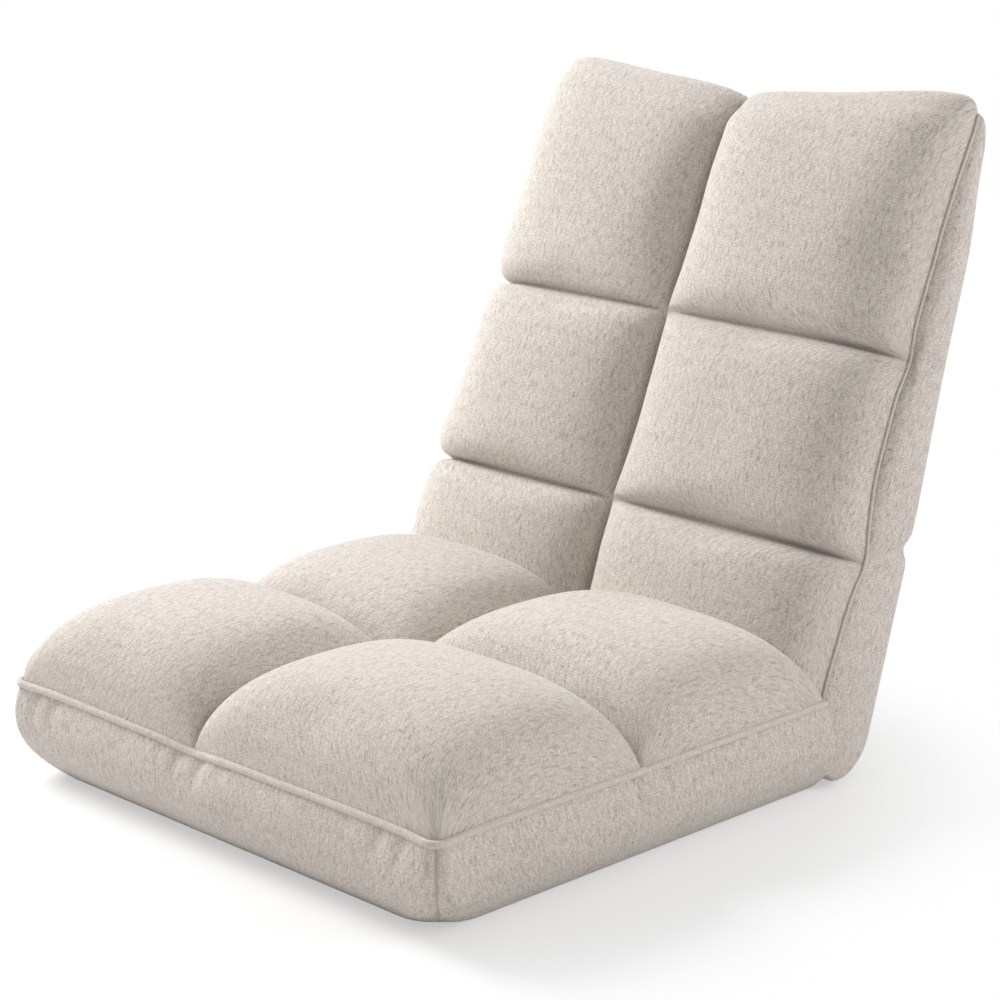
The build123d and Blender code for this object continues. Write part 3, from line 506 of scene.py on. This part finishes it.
crown = np.where(V < 0, FRONT_CROWN, REAR_CROWN)
Z = floor + (crown - floor) * dome(LU, LV, SEAT_POWER, SEAT_POWER, SEAT_FULLNESS)
seat_points = np.stack([X, Y, Z], 2)
seat_quilt = cloth_panel("seat_quilt", seat_points, lengths_along(seat_points))
sewn = (np.abs(np.abs(LU) - 1) < 1e-6) | (np.abs(np.abs(LV) - 1) < 1e-6)
left_of, behind = np.sign(np.round(U, 6)).ravel(), np.sign(np.round(V, 6)).ravel()


def keep_in_seat_chambers(points):
    beyond = points[:, 0] - middle_seam(points[:, 1])
    points[:, 0] += np.where(left_of * beyond < 0, -beyond, 0) * np.abs(left_of)
    points[:, 1] = np.where(behind * points[:, 1] < 0, 0, points[:, 1])
    return points


settle(seat_quilt, sewn, pressure=4.0, slack=0.008, cap=0.008, keep=keep_in_seat_chambers)
finer(seat_quilt)
seat_quilt.data.materials.append(cover_cloth)
print("seat quilt:", len(seat_quilt.data.polygons), "faces")

# %% [markdown]
# The side band, or boxing, goes round the front and the sides. It swells over the foam, tucks
# under at the floor, and puckers under each pulled seam and beside the corners. At its rear
# ends it turns in behind the round lower end of the back, so it follows that round.

# %% The side band of the seat
BAND_ROWS, BAND_BULGE, BAND_TUCK = 27, 0.006, 0.026
LOW_LEFT, LOW_RIGHT = 0.030, 0.012  # by how much the corners are rounder at the floor
SOCKET_RADIUS, SOCKET_NECK = 0.0445, 0.0245
band_share = np.linspace(0, 1, BAND_ROWS)
share = band_share[:, None]
swell = 4 * BAND_BULGE * share * (1 - share) - BAND_TUCK * (1 - share) ** 3.4
distance = plan_length[None, :]
middle = plan_length[-1] / 2
corner_place = middle - (SEAT_HALF - CORNER) - CORNER * math.pi / 4
side_tuft = float(np.interp(0.0, -plan[:SIDE_COUNT, 1], plan_length[:SIDE_COUNT]))
PUCKERS = [  # place from the middle of the front, half width, depth, reach from the top
    (0.044, 0.0055, 0.0042, 0.34), (0.016, 0.006, 0.0040, 0.42), (0.064, 0.006, 0.0022, 0.26),
    (-0.012, 0.007, 0.0020, 0.26), (-0.20, 0.007, 0.0034, 0.42), (-0.226, 0.006, 0.0030, 0.50),
    (-0.165, 0.006, 0.0018, 0.30), (0.205, 0.007, 0.0032, 0.44), (0.230, 0.006, 0.0030, 0.52),
    (-0.09, 0.008, 0.0008, 0.35), (0.11, 0.008, 0.0008, 0.30),
]
SIDE_PUCKERS = [(0.012, 0.0045, 0.0036, 0.60), (-0.02, 0.007, 0.0018, 0.3)]  # the same, from a side's tuft


def pucker(at, width, depth, reach, power):
    fade = np.clip(1 - (1 - share) / reach, 0, 1) ** power * np.clip((1 - share) / 0.04, 0, 1)
    return depth * np.exp(-(((distance - at) / width) ** 2)) * fade


dents = np.zeros_like(swell * distance)
for place, *form in PUCKERS:
    dents += pucker(middle + place, *form, power=1.2)
for tuft in (side_tuft, plan_length[-1] - side_tuft):
    for place, *form in SIDE_PUCKERS:
        dents += pucker(tuft + place, *form, power=1.0)
for seam_at in (corner_place, plan_length[-1] - corner_place):
    below = np.clip((1 - share) / 0.05, 0, 1)
    dents += 0.0024 * np.exp(-(((distance - seam_at) / 0.0030) ** 2)) * below
waves = 0.0006 * np.sin(distance * 61 + 1.3) * np.sin(share * 5 + distance * 17)
outset = waves * np.sin(share * math.pi) - dents - share**4 * seam_inset[None, :]
rounder = (1 - band_share) ** 1.5
band_plan = [plan_at(-float(s), CORNER + LOW_LEFT * r, CORNER + LOW_RIGHT * r)
             for s, r in zip(swell[:, 0], rounder)]
band_xy = np.array(band_plan) + outward[None, :, :] * outset[:, :, None]
band_z = np.broadcast_to(share * seam_height[None, :], outset.shape)
FACE_FOOT = HINGE + KNUCKLE * (math.sin(TAPER) * P + math.cos(TAPER) * Q)
FACE_SLOPE = math.tan(LEAN + TAPER)


def face_y(z, gap):
    return FACE_FOOT[1] - gap + (z - FACE_FOOT[2]) * FACE_SLOPE


round_off = np.clip(SOCKET_RADIUS**2 - (band_z - HINGE[2]) ** 2, SOCKET_NECK**2, None)
socket = np.where(band_z > FACE_FOOT[2], face_y(band_z, 0.0028), HINGE[1] - np.sqrt(round_off))
ends = np.maximum(socket, 0.2225 + 0.012 * (1 - band_z / SEAM))
toward = smooth((band_xy[:, :, 1] - 0.12) / (SEAT_REAR - 0.12)) * (np.abs(outward[None, :, 1]) < 0.1)
band_y = band_xy[:, :, 1] + (ends - SEAT_REAR) * toward
band = np.stack([band_xy[:, :, 0], band_y, band_z], 2)
turn_in = []
TURN_IN = [  # inset from the side, setback, share of the way to the socket
    (0.0008, 0.0004, 0.0), (0.0035, 0.0009, 0.05), (0.0075, 0.0010, 0.9),
    (0.020, 0.0011, 1.0), (0.050, 0.0011, 1.0),
]
for inset, back, to_socket in TURN_IN:
    lip = band[:, [0, -1]].copy()
    lip[:, 0, 0] -= inset
    lip[:, 1, 0] += inset
    lip[:, :, 1] += back + to_socket * (socket[:, [0, -1]] - lip[:, :, 1])
    turn_in.append(lip)
band = np.concatenate([np.stack([lip[:, 0] for lip in turn_in[::-1]], 1), band,
                       np.stack([lip[:, 1] for lip in turn_in], 1)], 1)
weave_u = run_length(band[BAND_ROWS // 2])
weave_v = run_length(band[:, band.shape[1] // 2])
band_weave = np.stack(np.broadcast_arrays(weave_u[None, :], weave_v[:, None]), 2)
seat_band = cloth_panel("seat_band", band[:, ::-1], band_weave[:, ::-1])
finer(seat_band)
seat_band.data.materials.append(cover_cloth)
print("side band:", round(float(weave_u[-1]), 3), "m long")

# %% [markdown]
# The piping is a cord in a bias strip of the cover cloth, sewn between the quilt and the band.
# The corner seams of the band are two thin lines where its front and side strips meet. They wear the darker
# lining cloth as painted shade of the groove along each seam.

# %% Piping and corner seams of the seat
seat_piping = piping("seat_piping", seam_line, WELT - 0.0003, sides=14)
seat_piping.data.materials.append(seam_cloth)
column = int(np.argmin(np.abs(plan_length - corner_place))) + len(turn_in)
corner_seams = []
for n, at in enumerate((column, band.shape[1] - 1 - column)):
    line = band[1:-1, at] - np.array([0, 0, 0.0002])
    seam = piping(f"corner_seam_{'left' if n == 0 else 'right'}", line, 0.0008, sides=8)
    # darker cloth on the corner seam: painted shade of the seam's groove
    seam.data.materials.append(lining_cloth)
    corner_seams.append(seam)
print("piping:", len(seat_piping.data.polygons), "faces")

# %% [markdown]
# The back's shell is a bag over foam: round at the hinge, thin at the top, with soft corners.
# It is swept up the back from rings, each a rounded rectangle, so the side panels, the rear and
# the round ends are one skin. The top corners stand up as ears and drop away behind, and the
# middle of the top dips.

# %% The shell of the back
EAR_REACH, EAR_DIP, EAR_LEFT, EAR_RIGHT, EAR_DROP = 0.237, 0.010, 0.025, 0.020, 0.042
BACK_HALF, WAIST, TOP_NARROWING = 0.252, 0.005, 0.007


def on_back(x, p, q):
    outer = np.minimum(np.abs(x) / EAR_REACH, 1.0)
    ear = -EAR_DIP + np.where(x < 0, EAR_RIGHT, EAR_LEFT) * outer**2.2
    behind = np.clip((TOP_ROUND - q) / (2 * TOP_ROUND), 0, 1)
    drop = EAR_DROP * smooth((outer - 0.72) / 0.28) * behind
    p = p + smooth((p - 0.43) / 0.10) * ear - smooth((p - 0.42) / 0.115) * drop
    return HINGE + x[..., None] * np.array([1.0, 0, 0]) + p[..., None] * P + q[..., None] * Q


def half_width(s):
    return BACK_HALF - WAIST * smooth((s - 0.16) / 0.2) - TOP_NARROWING * smooth((s - 0.40) / 0.14)


def quilt_half(s):
    drawn_in = smooth((s - 0.15) / 0.08) * (1 - 0.8 * smooth((s - 0.42) / 0.1))
    return half_width(s) - 0.0015 - 0.007 * drawn_in


def seam_wave(s):
    wave = np.zeros_like(s)
    for row in ROWS[1:3]:
        wave = wave - 0.006 * np.exp(-(((s - row) / 0.022) ** 2))
    return wave + 0.003 * smooth(s / 0.05) * smooth((0.52 - s) / 0.05)


def edge_sink(s):
    return 0.0034 * (1 - smooth((s - 0.13) / 0.08)) + 0.0022 * smooth((s - 0.42) / 0.08)


low = np.radians(np.linspace(0.6, 90 + math.degrees(TAPER), 26))
run = np.linspace(0, FACE_LENGTH, 120)[1:-1]
ZIP_P, ZIP_HALF, ZIP_LONG = 0.0982, 0.0056, 0.200
zip_steps = (ZIP_P - KNUCKLE * math.sin(TAPER)) / math.cos(TAPER) + np.array(
    [-ZIP_HALF - 0.0002, -ZIP_HALF + 0.0002, 0, ZIP_HALF - 0.0002, ZIP_HALF + 0.0002])
clear_of_zip = (run < zip_steps[0] - 0.002) | (run > zip_steps[-1] + 0.002)
run = np.sort(np.concatenate([run[clear_of_zip], zip_steps]))
high = np.linspace(TAPER, math.radians(89.4), 14)
station_p = np.concatenate([-KNUCKLE * np.cos(low), KNUCKLE * math.sin(TAPER) + run * math.cos(TAPER),
                            TOP_CENTRE + TOP_ROUND * np.sin(high)])
station_q = np.concatenate([KNUCKLE * np.sin(low), KNUCKLE * math.cos(TAPER) - run * math.sin(TAPER),
                            TOP_ROUND * np.cos(high)])
station_s = np.concatenate([KNUCKLE * (low - low[-1]), run, FACE_LENGTH + TOP_ROUND * (high - TAPER)])
shell_rows, shell_weave = [], []
quarter = np.linspace(0, math.pi / 2, 6)
FRONT_COLUMNS, SIDE_COLUMNS, SHELL_CORNER = 81, 11, 0.009
LAST_STEP = 0.0385  # of cloth, from a ring's last point to its first
rear_x = np.sort(np.concatenate([np.linspace(-1, 1, 61), [-0.8239, -0.8222, 0.8222, 0.8239]]))[::-1]
for p, q, s in zip(station_p, station_q, station_s):
    w = float(half_width(s))
    r = min(SHELL_CORNER, 0.85 * q)
    flat_x = w - r
    front_x = np.linspace(-flat_x, flat_x, FRONT_COLUMNS)
    flat_q = q - r
    side_q = np.linspace(flat_q, -flat_q, SIDE_COLUMNS + 2)[1:-1]
    side_x = np.full(SIDE_COLUMNS, w)
    ring_x = np.concatenate([front_x, flat_x + r * np.sin(quarter[1:]), side_x,
                             flat_x + r * np.cos(quarter), rear_x * flat_x,
                             -flat_x - r * np.sin(quarter), -side_x,
                             -flat_x - r * np.cos(quarter[:-1])])
    ring_q = np.concatenate([np.full(FRONT_COLUMNS, q), flat_q + r * np.cos(quarter[1:]), side_q,
                             -flat_q - r * np.sin(quarter), np.full(len(rear_x), -q),
                             -flat_q - r * np.cos(quarter), side_q[::-1],
                             flat_q + r * np.sin(quarter[:-1])])
    outer = np.abs(ring_x) / w
    depth = np.clip(ring_q / max(q, 1e-6), -1, 1)
    on_side = smooth((outer - 0.9) / 0.1)
    plump = 0.005 * (1 - depth**2) * min(1.0, q / 0.02)
    low_crease = np.exp(-(((s - ROWS[1] - 0.012 * (1 - depth)) / 0.008) ** 2))
    high_crease = np.exp(-(((s - ROWS[2] - 0.006 * (1 - depth)) / 0.012) ** 2)) * smooth(depth + 0.6)
    crease = (0.0055 * low_crease + 0.0025 * high_crease) * smooth((1.05 - np.abs(depth)) / 0.2)
    ring_x = ring_x + np.sign(ring_x) * on_side * (plump - crease)
    near_zip = math.exp(-(((p - ZIP_P) / 0.05) ** 2))
    rear = smooth(-depth * 4 - 3)
    up_the_back = min(max((p + 0.02) / 0.55, 0), 1)
    swell = 0.006 * (1 - outer**6) * math.sin(math.pi * up_the_back) * (1 - near_zip)
    notch = 0.006 * math.exp(-(((s - ROWS[1] - 0.024) / 0.013) ** 2)) * smooth((outer - 0.55) / 0.4)
    slot = 0.0027 * (abs(p - ZIP_P) < ZIP_HALF) * (np.abs(ring_x) < ZIP_LONG)
    front_edge = smooth(depth * 4 - 3)
    ring_q = ring_q + rear * (-swell + notch + slot) + front_edge * (float(seam_wave(s)) - 0.002)
    shell_rows.append(on_back(ring_x, np.full_like(ring_x, p), ring_q))
    ring_run = run_length(np.column_stack([ring_x, ring_q, np.zeros_like(ring_x)]))
    ring_run = np.append(ring_run, ring_run[-1] + LAST_STEP)
    shell_weave.append(np.column_stack([ring_run, np.full(len(ring_run), s)]))
back_shell = cloth_panel("back_shell", np.array(shell_rows), np.array(shell_weave), ring=True)
back_shell.data.materials.append(cover_cloth)
print("back shell:", len(back_shell.data.polygons), "faces")

# %% [markdown]
# The back's quilt has six pillows in three rows, from the lumbar row up to the tall head row.
# It is made like the seat's quilt, on the leaning front of the back: each pillow is full at its
# lower end, where it hangs on its seam, and rounder at its upper end. Neighbours press together,
# so the lines between the rows are shallow. The side seam waves back at each row.

# %% The quilt of the back
def on_face(x, s, h):
    over = TAPER + np.maximum(s - FACE_LENGTH, 0) / TOP_ROUND
    on_top = s > FACE_LENGTH
    p = KNUCKLE * math.sin(TAPER) + s * math.cos(TAPER) + h * math.sin(TAPER)
    q = KNUCKLE * math.cos(TAPER) - s * math.sin(TAPER) + h * math.cos(TAPER)
    p = np.where(on_top, TOP_CENTRE + (TOP_ROUND + h) * np.sin(over), p)
    q = np.where(on_top, (TOP_ROUND + h) * np.cos(over), q)
    return on_back(x, p, q)


pads = [chamber_steps(n) for n in (25, 31, 37)]
local_s = joined(pads)
s_values = joined([low_s + (pad_steps + 1) / 2 * (high_s - low_s)
                   for pad_steps, low_s, high_s in zip(pads, ROWS, ROWS[1:])])
S, U = np.meshgrid(s_values, u, indexing="ij")
LS, LU = np.meshgrid(local_s, local_u, indexing="ij")
X = BACK_TUFT * (1 - np.abs(U)) + U * quilt_half(S)
edge = np.abs(U) ** 8
BACK_CROWN, BACK_FULLNESS, ACROSS_POWER = 0.055, 0.40, 3.4
LOWER_END, UPPER_END, TOP_END = 11.0, 6.0, 2.3  # powers of the dome along the back
groove = 0.003 + (0.008 + 0.016 * LS**6) * smooth((S - 0.04) / 0.06)
at_seam = seam_wave(S) - edge_sink(S) - 0.0035
row_floor = groove * (1 - edge) * smooth((0.53 - S) / 0.03) + edge * at_seam + 0.001
row_power = np.where(LS < 0, LOWER_END, np.where(S > ROWS[2], TOP_END, UPPER_END))
H = row_floor + (BACK_CROWN - row_floor) * dome(LU, LS, ACROSS_POWER, row_power, BACK_FULLNESS)
back_points = on_face(X, S, H)
back_quilt = cloth_panel("back_quilt", back_points, lengths_along(back_points))
sewn = (np.abs(np.abs(LU) - 1) < 1e-6) | (np.abs(np.abs(LS) - 1) < 1e-6)
row_low = np.array(ROWS)[np.clip(np.searchsorted(ROWS, S.ravel(), "right") - 1, 0, 2)]
row_high = np.array(ROWS)[np.clip(np.searchsorted(ROWS, S.ravel(), "left"), 1, 3)]
wide, side_of = quilt_half(S).ravel(), np.sign(np.round(U, 6)).ravel()
UP_FACE = math.cos(TAPER) * P - math.sin(TAPER) * Q


def keep_in_back_chambers(points):
    least, most = np.where(side_of > 0, BACK_TUFT, -wide), np.where(side_of < 0, BACK_TUFT, wide)
    points[:, 0] = np.clip(points[:, 0], least, most)
    up = (points - HINGE) @ UP_FACE
    inside = np.clip(up, row_low, np.where(row_high > 0.5, 1.0, row_high))
    return points + (inside - up)[:, None] * UP_FACE


settle(back_quilt, sewn, pressure=4.0, slack=0.008, cap=0.006, keep=keep_in_back_chambers)
finer(back_quilt)
back_quilt.data.materials.append(cover_cloth)
print("back quilt:", len(back_quilt.data.polygons), "faces")

# %% The seam round the back's quilt
side_s = np.linspace(ROWS[0], ROWS[-1], 150)
side_x = quilt_half(side_s) + 0.0007
side_h = seam_wave(side_s) - edge_sink(side_s) - 0.0006
left_line = on_face(side_x, side_s, side_h)
right_line = on_face(-side_x, side_s, side_h)
top_x = np.linspace(side_x[-1], -side_x[-1], 60)[1:-1]
top_line = on_face(top_x, np.full_like(top_x, ROWS[-1]), np.full_like(top_x, -0.0006))
back_seam = piping("back_seam", np.concatenate([left_line, top_line, right_line[::-1]]), 0.0015, sides=8)
back_seam.data.materials.append(seam_cloth)
print("back seam:", round(float(run_length(left_line)[-1]), 3), "m up each side")

# %% [markdown]
# Under the seat lies a dark cloth with small rubbery dots, which keeps the chair from sliding.
# The dots are the lowest points and touch the floor. Behind the seat, a lining closes the seat's
# rear end where the back turns in it.

# %% Underside and rear lining of the seat
UNDER_INSET, UNDER_Z = 0.0275, 0.0009
DOT_PITCH, DOT_SIDES = 0.021, 10
DOT_RINGS = ((0.0034, 0.0010), (0.0030, 0.0003), (0.0018, 0.0))  # radius, height
low_plan = plan_at(UNDER_INSET, CORNER + LOW_LEFT, CORNER + LOW_RIGHT)
side_points = SIDE_COUNT + len(corner_turn) + 1
spokes = np.linspace(1, 0, 10)[None, :, None]
under_xy = low_plan[:side_points, None] * (1 - spokes) + low_plan[::-1][:side_points, None] * spokes
under = np.concatenate([under_xy, np.full(under_xy.shape[:2] + (1,), UNDER_Z)], 2)
seat_underside = cloth_panel("seat_underside", under, under_xy.copy())
seat_underside.data.materials.append(grip_cloth)
dot_points, dot_faces = [], []
ring_turn = np.linspace(0, 2 * math.pi, DOT_SIDES, endpoint=False)
for gx in np.arange(-0.21, 0.2101, DOT_PITCH):
    for gy in np.arange(-0.18, 0.2001, DOT_PITCH):
        first = len(dot_points)
        for radius, z in DOT_RINGS:
            dot_points += [(gx + radius * math.cos(a), gy + radius * math.sin(a), z) for a in ring_turn]
        for low_ring in (first, first + DOT_SIDES):
            for n in range(DOT_SIDES):
                after, up = (n + 1) % DOT_SIDES, low_ring + DOT_SIDES
                dot_faces.append((low_ring + n, low_ring + after, up + after, up + n))
        dot_faces.append(tuple(first + 2 * DOT_SIDES + n for n in range(DOT_SIDES)))
dot_mesh = bpy.data.meshes.new("seat_grip_dots")
dot_mesh.from_pydata(dot_points, [], dot_faces)
dot_mesh.shade_smooth()
seat_grip_dots = bpy.data.objects.new("seat_grip_dots", dot_mesh)
bpy.context.scene.collection.objects.link(seat_grip_dots)
dot_mesh.materials.append(grip_dots)
LINING_RADIUS, LINING_WIDTH = 0.0447, 0.470
lining_turn = np.radians(np.linspace(35, 108, 14))
lining_top = np.array([0.0720, 0.0810])
lining_y = np.concatenate([[HINGE[1] - 0.0243], HINGE[1] - LINING_RADIUS * np.sin(lining_turn),
                           face_y(lining_top, 0.003)])
lining_z = np.concatenate([[0.0015], HINGE[2] - LINING_RADIUS * np.cos(lining_turn), lining_top])
lining_x = np.linspace(-LINING_WIDTH / 2, LINING_WIDTH / 2, 40)
LY, LX = np.meshgrid(lining_y, lining_x, indexing="ij")
LZ = np.broadcast_to(lining_z[:, None], LX.shape)
lining_run = run_length(np.column_stack([lining_y, lining_z]))
lining_weave = np.stack(np.broadcast_arrays(lining_x[None, :], lining_run[:, None]), 2)
lining = np.stack([LX, LY, LZ], 2)
seat_lining = cloth_panel("seat_lining", lining[:, ::-1], lining_weave[:, ::-1])
seat_lining.data.materials.append(lining_cloth)
print("grip dots:", len(dot_mesh.polygons), "faces")

# %% [markdown]
# A gusset joins the seat's quilt to the lower edge of the back's quilt, deep in the crease. It is
# a folded strip of cover cloth, drawn fixed in the crease.

# %% The gusset in the crease
fold_y = np.array([0.2190, 0.2196, 0.2200, 0.2200, 0.2202, 0.2210, 0.2222, 0.2236])
fold_z = np.array([0.0850, 0.0830, 0.0805, 0.0780, 0.0755, 0.0738, 0.0732, 0.0734])
GUSSET_WIDTH = 0.492
fold_x = np.linspace(-GUSSET_WIDTH / 2, GUSSET_WIDTH / 2, 42)
fold = np.stack(np.broadcast_arrays(fold_x[None, :], fold_y[:, None], fold_z[:, None]), 2)
crease_gusset = cloth_panel("crease_gusset_cloth", fold, lengths_along(fold))
crease_gusset.data.materials.append(cover_cloth)

# %% [markdown]
# Low on the rear is the zip that closes the cover. Its tape and slider are good as solids; the
# chain becomes a row of small nylon teeth, bent over the tape from both sides in turn.

# %% The teeth of the zip
REAR_OUT_P, REAR_OUT_Q = math.sin(TAPER), -math.cos(TAPER)
ZIP_S, TOOTH_PITCH, TOOTH_WIDTH, TOOTH_LONG, TOOTH_SHIFT = 0.096, 0.0014, 0.0011, 0.0019, 0.0008
TOOTH_FOOT, TOOTH_HEIGHT = -0.0020, 0.0013
tooth_points, tooth_faces = [], []
TOOTH = np.array([(-0.5, -1, 0), (0.5, -1, 0), (0.5, 1, 0), (-0.5, 1, 0),
                  (-0.35, -0.8, 1), (0.35, -0.8, 1), (0.35, 0.8, 1), (-0.35, 0.8, 1)])
for n, x in enumerate(np.arange(-0.1925, 0.1926, TOOTH_PITCH)):
    side = 1 if n % 2 else -1
    first = len(tooth_points)
    for tx, ty, tz in TOOTH:
        along_s = ZIP_S + side * TOOTH_SHIFT + ty * TOOTH_LONG
        lift = TOOTH_FOOT + tz * TOOTH_HEIGHT
        p = KNUCKLE * math.sin(TAPER) + along_s * math.cos(TAPER) + lift * REAR_OUT_P
        q = -(KNUCKLE * math.cos(TAPER) - along_s * math.sin(TAPER)) + lift * REAR_OUT_Q
        tooth_points.append(tuple(HINGE + np.array([x + tx * TOOTH_WIDTH, 0, 0]) + p * P + q * Q))
    tooth_faces += [tuple(first + k for k in face) for face in
                    ((4, 5, 6, 7), (0, 1, 5, 4), (1, 2, 6, 5), (2, 3, 7, 6), (3, 0, 4, 7))]
tooth_mesh = bpy.data.meshes.new("zip_teeth")
tooth_mesh.from_pydata(tooth_points, [], tooth_faces)
zip_teeth = bpy.data.objects.new("zip_teeth", tooth_mesh)
bpy.context.scene.collection.objects.link(zip_teeth)
tooth_mesh.materials.append(zip_nylon)
print("zip teeth:", len(tooth_faces) // 5)

# %% [markdown]
# The solids that stay get their finishes: painted tubes, zinc-plated hinge parts, felt, foam
# and the metal of the zip. Each is chosen by the node's name.

# %% Finishes of the solids that stay
FINISHES = (
    ("frame_tube", frame_paint), ("cross_bars", frame_paint), ("rivets", zinc_steel), ("hinge", zinc_steel),
    ("pawl", zinc_steel), ("felt", felt_grey), ("foam", foam_cream), ("zip_tape", zip_tape_cloth),
    ("zip_chain", zip_nylon), ("zip_slider", zip_metal), ("zip_pull", zip_metal),
)
for name, node in nodes.items():
    finish = next((material for key, material in FINISHES if key in name), lining_cloth)
    node.data.materials.clear()
    node.data.materials.append(finish)
print("finished solids:", len(nodes))

# %% [markdown]
# Each new piece hides the solids it stands for and rides on the body that carries it. The gusset
# in the crease rides on neither body: it stays where it is drawn.

# %% What each piece stands for, and what carries it
SIDES = ("left", "right")
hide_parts(*[f"seat_pillow_{row}_{side}" for row in ("front", "rear") for side in SIDES],
            "seat_quilt_backing")
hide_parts("crease_gusset")
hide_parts("seat_boxing", "seat_foam", "seat_felt_pad")
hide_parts("seat_welt")
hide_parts("seat_bottom_panel")
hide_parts("seat_rear_lining")
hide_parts(*[f"back_pillow_{row}_{side}" for row in ("lower", "middle", "upper")
                          for side in SIDES], "back_quilt_backing")
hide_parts("back_cover", "back_side_left", "back_side_right", "back_foam")
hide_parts("zip_chain")
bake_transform(crease_gusset)
for piece in (seat_quilt, seat_band, seat_piping, seat_lining, seat_underside, seat_grip_dots,
              *corner_seams):
    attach(piece, "seat")
for piece in (back_shell, back_quilt, back_seam, zip_teeth):
    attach(piece, "back")

# %% [markdown]
# The studio is a pale floor that runs out to a white surround. A large soft lamp stands to the
# left and above, so the right shoulders of the pads fall into shade, and a weaker one behind on
# the right lights the side panels. Round the chair the floor keeps a soft shadow; farther out
# it turns white to the camera.

# %% Floor, surround and lamps
def lamp(name, place, target, size, watts):
    data = bpy.data.lights.new(name, "AREA")
    data.shape, data.size, data.energy = "DISK", size, watts
    light = bpy.data.objects.new(name, data)
    light.location = place
    light.rotation_euler = (Vector(target) - Vector(place)).to_track_quat("-Z", "Y").to_euler()
    bpy.context.scene.collection.objects.link(light)


FLOOR_HALF, FLOOR_Z, SKY = 9, -0.0004, 0.55
floor_corners = [(x * FLOOR_HALF, y * FLOOR_HALF, FLOOR_Z) for x, y in ((-1, -1), (1, -1), (1, 1), (-1, 1))]
floor_mesh = bpy.data.meshes.new("floor")
floor_mesh.from_pydata(floor_corners, [], [(0, 1, 2, 3)])
studio_floor = bpy.data.objects.new("studio_floor", floor_mesh)
bpy.context.scene.collection.objects.link(studio_floor)
paper = bpy.data.materials.new("studio_paper")
paper.use_nodes = True
tree = paper.node_tree
shader = tree.nodes["Principled BSDF"]
shader.inputs["Base Color"].default_value = (0.86, 0.86, 0.86, 1)
shader.inputs["Roughness"].default_value = 1.0
shader.inputs["Specular IOR Level"].default_value = 0.0
place = tree.nodes.new("ShaderNodeTexCoord")
away = tree.nodes.new("ShaderNodeVectorMath")
away.operation = "DISTANCE"
away.inputs[1].default_value = (-0.03, 0.0, 0.0)
tree.links.new(place.outputs["Object"], away.inputs[0])
fade = tree.nodes.new("ShaderNodeMapRange")
fade.interpolation_type = "SMOOTHSTEP"
fade.inputs["From Min"].default_value = 0.34
fade.inputs["From Max"].default_value = 0.58
fade.inputs["To Min"].default_value = 0.45
tree.links.new(away.outputs["Value"], fade.inputs["Value"])
path_kind = tree.nodes.new("ShaderNodeLightPath")
see_through = sum_of(tree, "MULTIPLY", fade.outputs["Result"], path_kind.outputs["Is Camera Ray"])
clear = tree.nodes.new("ShaderNodeBsdfTransparent")
both_ways = tree.nodes.new("ShaderNodeMixShader")
tree.links.new(see_through, both_ways.inputs[0])
tree.links.new(shader.outputs[0], both_ways.inputs[1])
tree.links.new(clear.outputs[0], both_ways.inputs[2])
tree.links.new(both_ways.outputs[0], tree.nodes["Material Output"].inputs["Surface"])
floor_mesh.materials.append(paper)
world = bpy.data.worlds.new("studio")
world.use_nodes = True
bpy.context.scene.world = world
tree = world.node_tree
surround = tree.nodes["Background"]
surround.inputs["Color"].default_value = (1, 1, 1, 1)
path_kind = tree.nodes.new("ShaderNodeLightPath")
seen = sum_of(tree, "MAXIMUM", path_kind.outputs["Is Camera Ray"], path_kind.outputs["Is Glossy Ray"])
strength = sum_of(tree, "MULTIPLY_ADD", seen, 1 - SKY)
strength.node.inputs[2].default_value = SKY
tree.links.new(strength, surround.inputs["Strength"])
CHAIR_MIDDLE = (0, 0.05, 0.22)
lamp("key", (-2.2, -0.3, 1.8), CHAIR_MIDDLE, size=1.5, watts=94)
lamp("side", (2.0, 1.4, 1.3), CHAIR_MIDDLE, size=1.6, watts=26)
print("lamps: 2")

# %% [markdown]
# The camera stands where the photographer stood: at the front, to the sitter's left, a little
# above the chair, with a long lens.

# %% Camera
scene = bpy.context.scene
scene.view_settings.view_transform = "Standard"
eye = bpy.data.cameras.new("camera")
eye.lens, eye.sensor_width, eye.clip_end = 102.46, 36.0, 60.0
camera = bpy.data.objects.new("camera", eye)
turn, lift = math.radians(45.59), math.radians(15.06)
camera.location = (1.6822, -1.5510, 0.8670)
look = Vector((-math.sin(turn) * math.cos(lift), math.cos(turn) * math.cos(lift), -math.sin(lift)))
camera.rotation_euler = look.to_track_quat("-Z", "Y").to_euler()
scene.collection.objects.link(camera)
scene.camera = camera
print("camera at", [round(v, 3) for v in camera.location])
